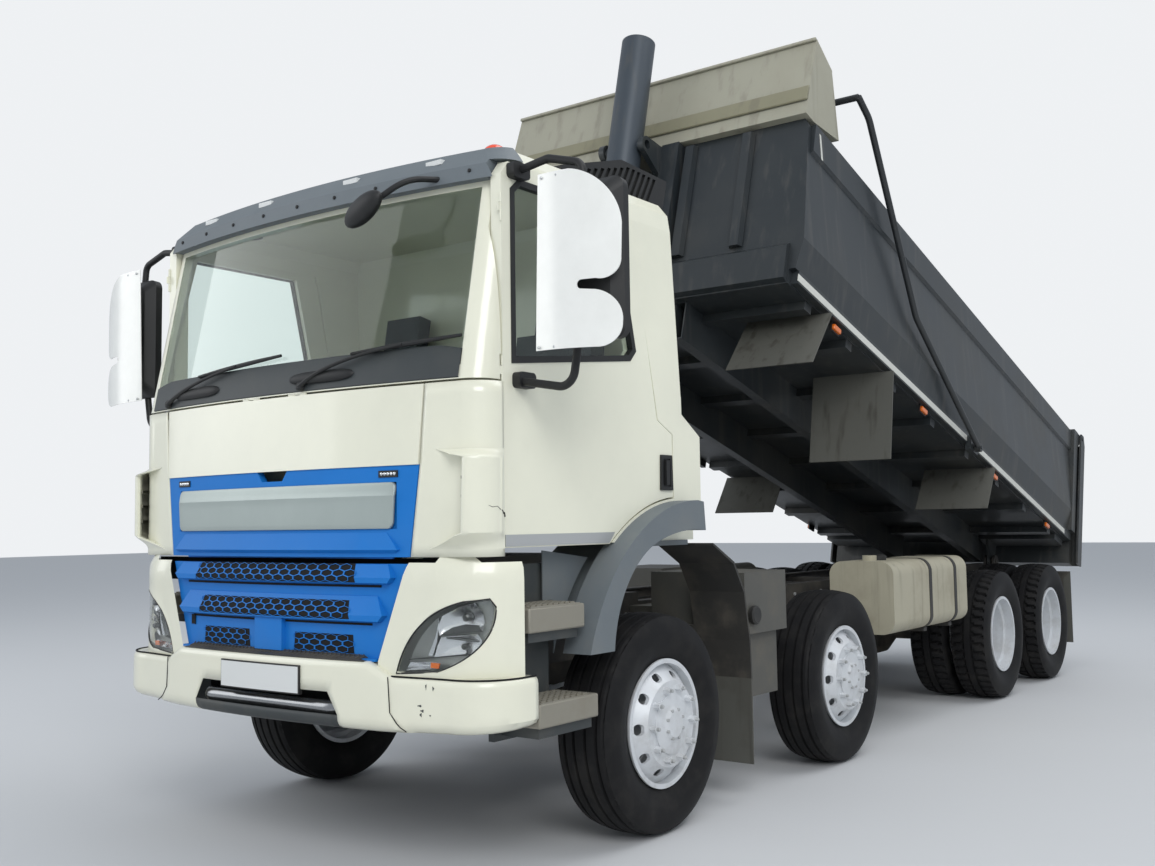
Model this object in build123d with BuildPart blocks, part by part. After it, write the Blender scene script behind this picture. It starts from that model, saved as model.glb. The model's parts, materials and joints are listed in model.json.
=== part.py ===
from build123d import *
import os
from math import cos, radians, sin, sqrt, tan

# A four-axle rigid dump truck with its bed raised. Millimetres, +X ahead, +Y to the truck's left,
# +Z up from the ground, origin on the ground in the middle of the truck's length and width.

os.makedirs("parts", exist_ok=True)

# Driving dimensions: axles and wheels
front_axle_x = 3115.0
second_axle_back = 2000.0
third_axle_back = 5050.0
fourth_axle_back = 6430.0
tyre_radius = 512.0
tyre_half_width = 149.0
tyre_wall = 22.0
bead_radius = 286.0
bead_half_width = 104.0
rim_flange_radius = 298.0
rim_half_width = 127.0
rim_wall = 9.0
rim_well_radius = 262.0
single_wheel_y = 1087.0
twin_outer_y = 1083.0
twin_inner_y = 753.0
nut_face_reach = 158.0
twin_face_reach = 165.5
spindle_radius = 33.0
drive_spindle_radius = 52.0
hub_clearance = 0.8
disc_wall = 12.0
hub_radius = 138.0
hand_hole_count = 10
nut_count = 10
nut_circle = 167.5
nut_radius = 17.0
nut_height = 32.0
kingpin_y = 930.0
kingpin_radius = 24.0

# Driving dimensions: chassis
rail_half_width = 430.0
rail_height = 270.0
rail_top_z = 1000.0
rail_flange = 75.0
rail_steel = 8.0
frame_front_ahead = 1080.0
frame_rear_back = 7030.0
wheel_z = tyre_radius

# Driving dimensions: cab
cab_half_width = 1150.0
cab_floor_z = 1360.0
cab_roof_z = 3080.0
cab_wall = 50.0
waist_z = 1985.0
screen_base_z = 2045.0
door_thick = 56.0
door_gap = 8.0
cab_pivot_ahead = 1180.0
cab_pivot_z = 970.0
cab_pin_radius = 20.0
seat_gap = 0.3
bowl_nose = 262.0

# Driving dimensions: tipping bed, in its own frame from the hinge
bed_hinge_back = 6950.0
bed_hinge_z = 1020.0
bed_rest_angle = 16.0
bed_front_u = 5751.0
bed_rear_u = -176.0
bed_floor_w = 280.0
bed_wall = 30.0
bed_side_low_y = 1237.0
bed_side_low_w = 523.0
top_rail_high_w = 1300.0
headboard_top_w = 1350.0
headboard_thick = 40.0
runner_low_w = -10.0

# Driving dimensions: tipping ram, cover tube outermost
ram_base_back = 860.0
ram_base_z = 1120.0
ram_pin_u = 6000.0
ram_pin_w = 1250.0
ram_cover_radius = 112.0
ram_cover_wall = 12.0
ram_cover_above_pin = 790.0
ram_cover_below_pin = 700.0
ram_base_radius = 90.0
ram_stage_step = 10.5
ram_stage_wall = 9.7
ram_tube_length = 1780.0
ram_recess_depth = 206.0
ram_recess_half = 165.0
ram_ear_inner = 125.0
ram_pin_radius = 30.0

bed_cos = cos(radians(bed_rest_angle))
bed_sin = sin(radians(bed_rest_angle))
bed_ahead = Vector(bed_cos, 0, bed_sin)
bed_up = Vector(-bed_sin, 0, bed_cos)
bed_hinge = Vector(front_axle_x - bed_hinge_back, 0, bed_hinge_z)
axle_x = [
    front_axle_x,
    front_axle_x - second_axle_back,
    front_axle_x - third_axle_back,
    front_axle_x - fourth_axle_back,
]
rail_low_z = rail_top_z - rail_height


def side_plane(y=0.0):
    """Side view at this y: local x ahead, local y up; an extrusion goes to the right, -Y."""
    return Plane(origin=(front_axle_x, y, 0), x_dir=(1, 0, 0), z_dir=(0, -1, 0))


def slab_plane(side, inner, outer):
    """Side view whose extrusion by outer - inner fills inner to outer on the left or right."""
    return side_plane(outer if side > 0 else -inner)


def cross_plane(ahead=0.0):
    """Rear view at this distance ahead of axle 1: local x to the left, local y up."""
    return Plane(origin=(front_axle_x + ahead, 0, 0), x_dir=(0, 1, 0), z_dir=(1, 0, 0))


def plan_plane(z=0.0):
    """Plan view at this height, measured from axle 1."""
    return Plane(origin=(front_axle_x, 0, z), x_dir=(1, 0, 0), z_dir=(0, 0, 1))


def bed_point(u, w, y=0.0):
    """A point of the bed's frame: u ahead of the hinge along the floor, w above it."""
    return bed_hinge + bed_ahead * u + bed_up * w + Vector(0, y, 0)


def bed_side_plane(y=0.0):
    """Side view in the bed's frame; an extrusion goes to -Y."""
    return Plane(origin=bed_point(0, 0, y), x_dir=bed_ahead, z_dir=(0, -1, 0))


def bed_slab_plane(side, inner, outer):
    """Bed side view whose extrusion by outer - inner fills inner to outer on one side."""
    return bed_side_plane(outer if side > 0 else -inner)


def bed_cross_plane(u=0.0):
    """Rear view in the bed's frame: local x to the left, local y up from the hinge."""
    return Plane(origin=bed_point(u, 0), x_dir=(0, 1, 0), z_dir=bed_ahead)


def wheel_plane(x, y=0.0):
    """Half-section plane of a wheel: local x outward along the axle to +Y, local y radius."""
    return Plane(origin=(x, y, wheel_z), x_dir=(0, 1, 0), z_dir=(1, 0, 0))


# Wheels: tyre and rim of each single or twin wheel
# side name, which way is outward
sides = [("left", 1), ("right", -1)]
# wheel name, axle number, twin
wheel_table = [("axle_1", 0, False), ("axle_2", 1, False), ("axle_3", 2, True), ("axle_4", 3, True)]


def tyre_section(a):
    """Half-section of one tyre centred at a along the axle: a C of rubber open to the rim."""
    h = tyre_half_width
    w = tyre_wall
    r = tyre_radius
    bead = bead_half_width
    mid = 0.5 * (bead_radius + r)
    with BuildSketch(Plane.XY, mode=Mode.PRIVATE) as section:
        with BuildLine():
            ThreePointArc((a - bead, bead_radius), (a - h, mid), (a - h + 22, r - 16))
            ThreePointArc((a - h + 22, r - 16), (a, r), (a + h - 22, r - 16))
            ThreePointArc((a + h - 22, r - 16), (a + h, mid), (a + bead, bead_radius))
            Line((a + bead, bead_radius), (a + bead - w, bead_radius))
            ThreePointArc((a + bead - w, bead_radius), (a + h - w, mid), (a + h - w - 20, r - 40))
            Line((a + h - w - 20, r - 40), (a - h + w + 20, r - 40))
            ThreePointArc((a - h + w + 20, r - 40), (a - h + w, mid), (a - bead + w, bead_radius))
            Line((a - bead + w, bead_radius), (a - bead, bead_radius))
        make_face()
    return section.sketch


def rim_section(a, out, reach):
    """Half-section of one rim: flanges, bead seats, well and a disc whose nut face looks out."""
    f = rim_flange_radius
    seat = bead_radius - 0.5
    t = rim_wall
    b = rim_half_width
    well = rim_well_radius
    face = reach * out
    wall = disc_wall * out
    rise = 76 * out
    with BuildSketch(Plane.XY, mode=Mode.PRIVATE) as section:
        with BuildLine():
            Polyline(
                (a - b, f),
                (a - b + t, f),
                (a - b + t, seat),
                (a - 50, seat),
                (a - 40, well),
                (a + 40, well),
                (a + 50, seat),
                (a + b - t, seat),
                (a + b - t, f),
                (a + b, f),
                (a + b, seat - t),
                (a + 55, seat - t),
                (a + 45, well - t),
                (a - 45, well - t),
                (a - 55, seat - t),
                (a - b, seat - t),
                (a - b, f),
            )
        make_face()
        with BuildLine():
            Polyline(
                (a + face, hub_radius - 2),
                (a + face, 198),
                (a + rise, seat - t + 2),
                (a + rise - wall, seat - t + 2),
                (a + face - wall, 190),
                (a + face - wall, hub_radius - 2),
                (a + face, hub_radius - 2),
            )
        make_face()
    return section.sketch


for wheel_name, axle, twin in wheel_table:
    for side_name, side in sides:
        x = axle_x[axle]
        axis = Axis((x, 0, wheel_z), (0, 1, 0))
        centres = [twin_outer_y, twin_inner_y] if twin else [single_wheel_y]
        with BuildPart() as tyre:
            with BuildSketch(wheel_plane(x)):
                for centre in centres:
                    add(tyre_section(side * centre))
            revolve(axis=axis)
        tyre.part.label = f"tyre_{wheel_name}_{side_name}"
        export_step(tyre.part, f"parts/{tyre.part.label}.step")

        if twin:
            nut_face = twin_inner_y + twin_face_reach + disc_wall
            hub_in = nut_face - 260
            hub_out = nut_face + 85
            bore = drive_spindle_radius + hub_clearance
        else:
            nut_face = single_wheel_y + nut_face_reach
            hub_in = nut_face - 210
            hub_out = nut_face + 28
            bore = spindle_radius + hub_clearance
        with BuildPart() as rim:
            with BuildSketch(wheel_plane(x)):
                if twin:
                    add(rim_section(side * twin_inner_y, side, twin_face_reach))
                    add(rim_section(side * twin_outer_y, -side, twin_face_reach))
                else:
                    add(rim_section(side * single_wheel_y, side, nut_face_reach))
            revolve(axis=axis)
            with BuildSketch(wheel_plane(x)):
                with BuildLine():
                    Polyline(
                        (side * hub_in, bore),
                        (side * hub_in, hub_radius + 12),
                        (side * (nut_face - disc_wall), hub_radius + 12),
                        (side * (nut_face - disc_wall), hub_radius),
                        (side * (nut_face + 6), hub_radius),
                        (side * (nut_face + 14), 84),
                        (side * (hub_out - 12), 78),
                        (side * hub_out, 60),
                        (side * hub_out, 0),
                        (side * (hub_out - 16), 0),
                        (side * (hub_out - 16), bore),
                        (side * hub_in, bore),
                    )
                make_face()
            revolve(axis=axis)
            hole_plane = Plane(
                origin=(x, side * (nut_face - 130), wheel_z), x_dir=(1, 0, 0), z_dir=(0, side, 0)
            )
            with BuildSketch(hole_plane):
                with PolarLocations(226, hand_hole_count):
                    SlotOverall(52, 34, rotation=90)
            extrude(amount=300, mode=Mode.SUBTRACT)
            nut_plane = Plane(
                origin=(x, side * (nut_face - 2), wheel_z), x_dir=(1, 0, 0), z_dir=(0, side, 0)
            )
            with BuildSketch(nut_plane):
                with PolarLocations(nut_circle, nut_count):
                    RegularPolygon(nut_radius, 6)
            extrude(amount=nut_height + 2)
        rim.part.label = f"rim_{wheel_name}_{side_name}"
        export_step(rim.part, f"parts/{rim.part.label}.step")

# Steer axles: dropped beams with kingpin eyes, leaf springs and their hangers
eye_half = 78.0
beam_half_thick = 45.0
spring_y = 392.0
spring_half_width = 38.0
spring_reach = 800.0
spring_end_z = 690.0
spring_seat_z = 505.0
with BuildPart() as steer_axles:
    for axle in (0, 1):
        ahead = axle_x[axle] - front_axle_x
        with BuildSketch(cross_plane(ahead - beam_half_thick)):
            with BuildLine():
                Polyline(
                    (-kingpin_y, wheel_z + 50),
                    (-640, wheel_z + 50),
                    (-520, spring_seat_z),
                    (520, spring_seat_z),
                    (640, wheel_z + 50),
                    (kingpin_y, wheel_z + 50),
                    (kingpin_y, wheel_z - 50),
                    (600, wheel_z - 50),
                    (480, spring_seat_z - 110),
                    (-480, spring_seat_z - 110),
                    (-600, wheel_z - 50),
                    (-kingpin_y, wheel_z - 50),
                    (-kingpin_y, wheel_z + 50),
                )
            make_face()
        extrude(amount=2 * beam_half_thick)
        for side in (1, -1):
            with BuildSketch(plan_plane(wheel_z - eye_half)):
                with Locations((ahead, side * kingpin_y)):
                    Circle(60)
            extrude(amount=2 * eye_half)
            with BuildSketch(plan_plane(wheel_z - 2 * eye_half)):
                with Locations((ahead, side * kingpin_y)):
                    Circle(kingpin_radius + 0.8)
            extrude(amount=4 * eye_half, mode=Mode.SUBTRACT)
            inner = spring_y - spring_half_width
            outer = spring_y + spring_half_width
            with BuildSketch(slab_plane(side, inner, outer)):
                with BuildLine():
                    ThreePointArc(
                        (ahead - spring_reach, spring_end_z + 14),
                        (ahead, spring_seat_z + 55),
                        (ahead + spring_reach, spring_end_z + 14),
                    )
                    Line(
                        (ahead + spring_reach, spring_end_z + 14),
                        (ahead + spring_reach, spring_end_z - 14),
                    )
                    ThreePointArc(
                        (ahead + spring_reach, spring_end_z - 14),
                        (ahead, spring_seat_z - 5),
                        (ahead - spring_reach, spring_end_z - 14),
                    )
                    Line(
                        (ahead - spring_reach, spring_end_z - 14),
                        (ahead - spring_reach, spring_end_z + 14),
                    )
                make_face()
                for end in (-1, 1):
                    with Locations((ahead + end * spring_reach, 0.5 * (spring_end_z + rail_low_z))):
                        Rectangle(70, rail_low_z - spring_end_z + 60)
            extrude(amount=outer - inner)
            with BuildSketch(slab_plane(side, inner - 4, outer + 4)):
                with Locations((ahead, spring_seat_z + 20)):
                    Rectangle(140, 90)
            extrude(amount=outer - inner + 8)
    with BuildSketch(plan_plane(rail_low_z)):
        with Locations((0, 0)):
            Rectangle(12000, 3000)
    extrude(amount=200, mode=Mode.SUBTRACT)

# Knuckles: ears above and below the eye, kingpin, spindle and brake plate
ear_gap = 6.0
ear_thick = 34.0
for wheel_name, axle in (("axle_1", 0), ("axle_2", 1)):
    for side_name, side in sides:
        ahead = axle_x[axle] - front_axle_x
        with BuildPart() as knuckle:
            for low in (wheel_z + eye_half + ear_gap, wheel_z - eye_half - ear_gap - ear_thick):
                with BuildSketch(plan_plane(low)):
                    with Locations((ahead, side * kingpin_y)):
                        Circle(54)
                    with Locations((ahead, side * (kingpin_y + 45))):
                        Rectangle(96, 90)
                extrude(amount=ear_thick)
            with BuildSketch(plan_plane(wheel_z - eye_half - ear_gap - ear_thick)):
                with Locations((ahead, side * kingpin_y)):
                    Circle(kingpin_radius)
            extrude(amount=2 * (eye_half + ear_gap + ear_thick))
            with BuildSketch(cross_plane(ahead - 48)):
                with Locations((side * (kingpin_y + 80), wheel_z)):
                    Rectangle(20, 2 * (eye_half + ear_gap + ear_thick))
            extrude(amount=96)
            with BuildSketch(slab_plane(side, kingpin_y + 74, kingpin_y + 88)):
                with Locations((ahead, wheel_z)):
                    Circle(205)
            extrude(amount=14)
            with BuildSketch(slab_plane(side, kingpin_y + 70, kingpin_y + 260)):
                with Locations((ahead, wheel_z)):
                    Circle(spindle_radius)
            extrude(amount=190)
        knuckle.part.label = f"knuckle_{wheel_name}_{side_name}"
        export_step(knuckle.part, f"parts/{knuckle.part.label}.step")

# Drive axles: banjo housings, tubes, spindles, springs and the propshafts between them
drive_spring_y = 498.0
drive_spring_half = 42.0
drive_spring_reach = 560.0
drive_spring_end_z = 700.0
with BuildPart() as axles:
    add(steer_axles.part)
    for axle in (2, 3):
        ahead = axle_x[axle] - front_axle_x
        with BuildSketch(wheel_plane(axle_x[axle])):
            with BuildLine():
                Polyline(
                    (-880, 0),
                    (-880, drive_spindle_radius),
                    (-640, drive_spindle_radius),
                    (-640, 78),
                    (-300, 78),
                    (-210, 190),
                    (-90, 225),
                    (90, 225),
                    (210, 190),
                    (300, 78),
                    (640, 78),
                    (640, drive_spindle_radius),
                    (880, drive_spindle_radius),
                    (880, 0),
                    (-880, 0),
                )
            make_face()
        revolve(axis=Axis((axle_x[axle], 0, wheel_z), (0, 1, 0)))
        with BuildSketch(cross_plane(ahead - bowl_nose)):
            with Locations((0, wheel_z)):
                Circle(95)
        extrude(amount=2 * bowl_nose)
        for side in (1, -1):
            inner = drive_spring_y - drive_spring_half
            outer = drive_spring_y + drive_spring_half
            with BuildSketch(slab_plane(side, inner, outer)):
                with BuildLine():
                    ThreePointArc(
                        (ahead - drive_spring_reach, drive_spring_end_z + 16),
                        (ahead, wheel_z + 160),
                        (ahead + drive_spring_reach, drive_spring_end_z + 16),
                    )
                    Line(
                        (ahead + drive_spring_reach, drive_spring_end_z + 16),
                        (ahead + drive_spring_reach, drive_spring_end_z - 16),
                    )
                    ThreePointArc(
                        (ahead + drive_spring_reach, drive_spring_end_z - 16),
                        (ahead, wheel_z + 70),
                        (ahead - drive_spring_reach, drive_spring_end_z - 16),
                    )
                    Line(
                        (ahead - drive_spring_reach, drive_spring_end_z - 16),
                        (ahead - drive_spring_reach, drive_spring_end_z + 16),
                    )
                make_face()
                for end in (-1, 1):
                    with Locations((ahead + end * drive_spring_reach, drive_spring_end_z + 65)):
                        Rectangle(60, 200)
                with Locations((ahead, wheel_z + 90)):
                    Rectangle(150, 150)
            extrude(amount=outer - inner)
            with BuildSketch(slab_plane(side, rail_half_width, inner + 4)):
                for end in (-1, 1):
                    with Locations((ahead + end * drive_spring_reach, drive_spring_end_z + 105)):
                        Rectangle(60, 120)
            extrude(amount=inner + 4 - rail_half_width)
axles.part.label = "axles"
export_step(axles.part, "parts/axles.step")

# Engine with cooling pack and gearbox, one plain block on four feet, with the propshafts
with BuildPart() as engine:
    with BuildSketch(side_plane(330)):
        with BuildLine():
            Polyline((760, 600), (760, 1290), (-420, 1290), (-420, 600), (760, 600))
        make_face()
    extrude(amount=660)
    with BuildSketch(side_plane(340)):
        with BuildLine():
            Polyline((750, 780), (960, 780), (960, 1290), (750, 1290), (750, 780))
        make_face()
    extrude(amount=680)
    with BuildSketch(side_plane(220)):
        with BuildLine():
            Polyline((-400, 600), (-400, 1060), (-620, 980), (-1180, 860), (-1180, 620), (-400, 600))
        make_face()
    extrude(amount=440)
    for ahead in (600.0, -300.0):
        with BuildSketch(cross_plane(ahead - 50)):
            with Locations((0, rail_top_z + 22)):
                Rectangle(2 * rail_half_width, 44)
        extrude(amount=100)

prop_radius = 52.0
yoke_radius = 72.0
yoke_length = 90.0
bearing_back = 3700.0
# propshaft stretches: ahead end and its height, rear end and its height
shaft_table = [
    (-1180 - seat_gap, 695.0, -bearing_back, 690.0),
    (-bearing_back, 690.0, -third_axle_back + bowl_nose + seat_gap, wheel_z),
    (-third_axle_back - bowl_nose - seat_gap, wheel_z, -fourth_axle_back + bowl_nose + seat_gap, wheel_z),
]
with BuildPart() as driveline:
    add(engine.part)
    for start, start_z, end, end_z in shaft_table:
        for station, z, way in ((start, start_z, -1), (end, end_z, 1)):
            with BuildSketch(cross_plane(station)):
                with Locations((0, z)):
                    Circle(yoke_radius)
            extrude(amount=way * yoke_length)
        inset = yoke_length - 20
        first = Vector(front_axle_x + start - inset, 0, start_z)
        last = Vector(front_axle_x + end + inset, 0, end_z)
        with BuildSketch(Plane(origin=first, z_dir=(last - first).normalized())):
            Circle(prop_radius)
        extrude(amount=(last - first).length)
    with BuildSketch(cross_plane(-bearing_back - 36)):
        with Locations((0, 0.5 * (rail_top_z - 230 - seat_gap + 640))):
            Rectangle(190, rail_top_z - 230 - seat_gap - 640)
    extrude(amount=72)
driveline.part.label = "driveline"
export_step(driveline.part, "parts/driveline.step")

# Chassis frame: channel rails, crossmembers, hinge brackets for the bed
# crossmember stations behind axle 1
cross_stations = [-1010.0, 1300.0, 2420.0, 3700.0, 4500.0, 5740.0, 6990.0]
hinge_plate_y = [470.0, 550.0]
hinge_plate_thick = 22.0
hinge_pin_radius = 28.0
with BuildPart() as chassis_frame:
    with BuildSketch(cross_plane(-frame_rear_back)):
        for side in (1, -1):
            with Locations((side * (rail_half_width - rail_steel / 2), rail_top_z - rail_height / 2)):
                Rectangle(rail_steel, rail_height)
            for z in (rail_top_z - rail_steel / 2, rail_low_z + rail_steel / 2):
                with Locations((side * (rail_half_width - rail_flange / 2), z)):
                    Rectangle(rail_flange, rail_steel)
    extrude(amount=frame_front_ahead + frame_rear_back)
    with BuildSketch(side_plane(rail_half_width - rail_steel / 2)):
        for back in cross_stations:
            with Locations((-back, rail_top_z - 130)):
                Rectangle(76, 200)
            with Locations((-back - rail_steel, rail_top_z - 130)):
                Rectangle(76, 184, mode=Mode.SUBTRACT)
    extrude(amount=2 * rail_half_width - rail_steel)
    for side in (1, -1):
        for inner in hinge_plate_y:
            with BuildSketch(slab_plane(side, inner, inner + hinge_plate_thick)):
                with BuildLine():
                    Polyline(
                        (-bed_hinge_back - 62, bed_hinge_z),
                        (-bed_hinge_back - 62, 910),
                        (-bed_hinge_back + 110, 910),
                        (-bed_hinge_back + 62, bed_hinge_z),
                    )
                    ThreePointArc(
                        (-bed_hinge_back + 62, bed_hinge_z),
                        (-bed_hinge_back, bed_hinge_z + 62),
                        (-bed_hinge_back - 62, bed_hinge_z),
                    )
                make_face()
            extrude(amount=hinge_plate_thick)
        with BuildSketch(slab_plane(side, rail_half_width - 2, 572)):
            with Locations((-bed_hinge_back + 24, 910)):
                Rectangle(172, 40)
        extrude(amount=574 - rail_half_width)
        with BuildSketch(slab_plane(side, 464, 578)):
            with Locations((-bed_hinge_back, bed_hinge_z)):
                Circle(hinge_pin_radius)
        extrude(amount=114)
    # Ram cradle: a beam over the rails behind the cab with two ears for the ram's base
    with BuildSketch(cross_plane(-ram_base_back - 90)):
        with Locations((0, rail_top_z + 25)):
            Rectangle(2 * rail_half_width, 54)
    extrude(amount=180)
    for side in (1, -1):
        with BuildSketch(slab_plane(side, ram_ear_inner, ram_ear_inner + 25)):
            with BuildLine():
                Polyline(
                    (-ram_base_back - 60, ram_base_z),
                    (-ram_base_back - 60, rail_top_z + 20),
                    (-ram_base_back + 60, rail_top_z + 20),
                    (-ram_base_back + 60, ram_base_z),
                )
                ThreePointArc(
                    (-ram_base_back + 60, ram_base_z),
                    (-ram_base_back, ram_base_z + 60),
                    (-ram_base_back - 60, ram_base_z),
                )
            make_face()
        extrude(amount=25)
        with BuildSketch(slab_plane(side, ram_ear_inner, ram_ear_inner + 25)):
            with Locations((-ram_base_back, ram_base_z)):
                Circle(ram_pin_radius + 0.8)
        extrude(amount=25, mode=Mode.SUBTRACT)
    # Cab pivot brackets: a plate and pin outside each rail's front end
    for side in (1, -1):
        with BuildSketch(slab_plane(side, 456, 480)):
            with BuildLine():
                Polyline(
                    (940, 760),
                    (940, 930),
                    (1120, 1010),
                    (1215, 1010),
                    (1215, 930),
                    (1090, 760),
                    (940, 760),
                )
            make_face()
        extrude(amount=24)
        with BuildSketch(slab_plane(side, rail_half_width - 2, 460)):
            with Locations((1000, 830)):
                Rectangle(110, 120)
        extrude(amount=462 - rail_half_width)
        with BuildSketch(slab_plane(side, 419, 484)):
            with Locations((cab_pivot_ahead, cab_pivot_z)):
                Circle(cab_pin_radius)
        extrude(amount=65)
chassis_frame.part.label = "chassis_frame"
export_step(chassis_frame.part, "parts/chassis_frame.step")

# Front of the truck: every outer skin follows one bow in plan
bow_radius = 6100.0
hatch_half_low = 807.0
hatch_half_mid = 855.0
hatch_half_top = 877.0
hatch_low_z = 1322.0
hatch_split_z = 1700.0
hatch_top_z = 2031.0
hatch_nose = 1322.0
panel_gap = 6.0
hatch_top_gap = 10.0
hatch_pin_ahead = 1312.0
hatch_pin_z = 2036.0
hatch_pin_y = 160.0
hatch_pin_radius = 2.0
hatch_sleeve_radius = 4.0
lamp_panel_top_z = 1300.0
bumper_low_z = 610.0
bumper_top_z = 895.0
bumper_nose = 1385.0
bumper_end_z = 845.0
bumper_end_y = 700.0
bumper_half = 1252.0
bumper_corner = 230.0
bumper_wall = 50.0
lamp_nose = 1345.0
lamp_half = 1235.0
lamp_corner = 350.0
grille_low_half = 655.0


def plan_outline(rear, nose, half, corner):
    """Plan of a cab part: bowed front, rounded front corners, straight sides and rear."""
    front_y = half - corner
    front_x = nose - front_y**2 / (2 * bow_radius)
    knee = corner * (1 - sin(radians(45)))
    with BuildSketch(Plane.XY, mode=Mode.PRIVATE) as outline:
        with BuildLine():
            Line((rear, -half), (front_x - corner, -half))
            ThreePointArc((front_x - corner, -half), (front_x - knee, -half + knee), (front_x, -front_y))
            ThreePointArc((front_x, -front_y), (nose, 0), (front_x, front_y))
            ThreePointArc((front_x, front_y), (front_x - knee, half - knee), (front_x - corner, half))
            Line((front_x - corner, half), (rear, half))
            Line((rear, half), (rear, -half))
        make_face()
    return outline.sketch


def front_band(nose, thick, half):
    """Plan of a bowed panel across the front."""
    drop = half**2 / (2 * bow_radius)
    with BuildSketch(Plane.XY, mode=Mode.PRIVATE) as band:
        with BuildLine():
            ThreePointArc((nose - drop, -half), (nose, 0), (nose - drop, half))
            Line((nose - drop, half), (nose - drop - thick, half))
            ThreePointArc((nose - drop - thick, half), (nose - thick, 0), (nose - drop - thick, -half))
            Line((nose - drop - thick, -half), (nose - drop, -half))
        make_face()
    return band.sketch


def mirrored_polygon(points):
    """A closed outline symmetric about local x = 0, from its left half listed from the bottom."""
    right = [(-y, z) for y, z in reversed(points)]
    return points + right + [points[0]]


# Cab shell: hollow loft of plan outlines, with screen and door openings
# height, rear, nose, half width, corner radius
cab_lower_sections = [
    (cab_floor_z, -470, 1140, cab_half_width, 60),
    (1880, -470, 1140, cab_half_width, 60),
    (waist_z, -300, 1140, cab_half_width, 60),
    (screen_base_z + 30, -297, 1140, cab_half_width, 60),
]
cab_upper_sections = [
    (hatch_top_z + hatch_top_gap, -298, 1315, cab_half_width, 110),
    (2900, -245, 1140, 1138, 110),
    (2985, -240, 1112, 1128, 110),
    (3045, -225, 1060, 1085, 100),
    (cab_roof_z, -170, 960, 1000, 100),
]
door_front = 1075.0
door_pin_ahead = 1079.0
door_pin_radius = 2.5
door_sleeve_radius = 5.0
door_hinge_z = [1560.0, 2080.0, 2760.0]
door_web_half = 18.0
door_web_reach = 16.0
door_web_thick = 5.0
door_web_x = door_pin_ahead + 0.5 * door_web_reach
door_web_y = cab_half_width - 0.5 * door_web_thick
door_sleeve_end = 60.0
door_low_z = 1355.0
door_arc_x = -278.0
door_arc_z = 600.0
door_arc_radius = 975.0
flare_radius = 955.0


def door_outline(grow=0.0):
    """Side outline of a door: straight front, raked rear edge, rear corner cut by the wheel arch."""
    radius = door_arc_radius - grow
    low = door_low_z - grow
    rear = -205.0 - grow
    arc_front = door_arc_x + sqrt(radius**2 - (low - door_arc_z) ** 2)
    arc_mid_x = 0.5 * (arc_front + rear)
    arc_mid = door_arc_z + sqrt(radius**2 - (arc_mid_x - door_arc_x) ** 2)
    arc_rear = door_arc_z + sqrt(radius**2 - (rear - door_arc_x) ** 2)
    with BuildSketch(Plane.XY, mode=Mode.PRIVATE) as outline:
        with BuildLine():
            Polyline(
                (arc_front, low),
                (door_front + grow, low),
                (door_front + grow, 2905 + grow),
                (1030 + grow, 2962 + grow),
                (150 - grow, 2962 + grow),
                (115 - grow, 2840),
                (-74 - grow, 1944),
                (rear, 1880),
                (rear, arc_rear),
            )
            ThreePointArc((rear, arc_rear), (arc_mid_x, arc_mid), (arc_front, low))
        make_face()
    return outline.sketch


def window_outline(grow=0.0):
    """Side outline of the door window, whose sill rises to the rear."""
    with BuildSketch(Plane.XY, mode=Mode.PRIVATE) as outline:
        with BuildLine():
            Polyline(
                (995 + grow, 2140 - grow),
                (995 + grow, 2840 + grow),
                (955 + grow, 2876 + grow),
                (270 - grow, 2876 + grow),
                (126 - grow, 2267 - grow),
                (160 - grow, 2232 - grow),
                (995 + grow, 2140 - grow),
            )
        make_face()
    return outline.sketch


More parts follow.
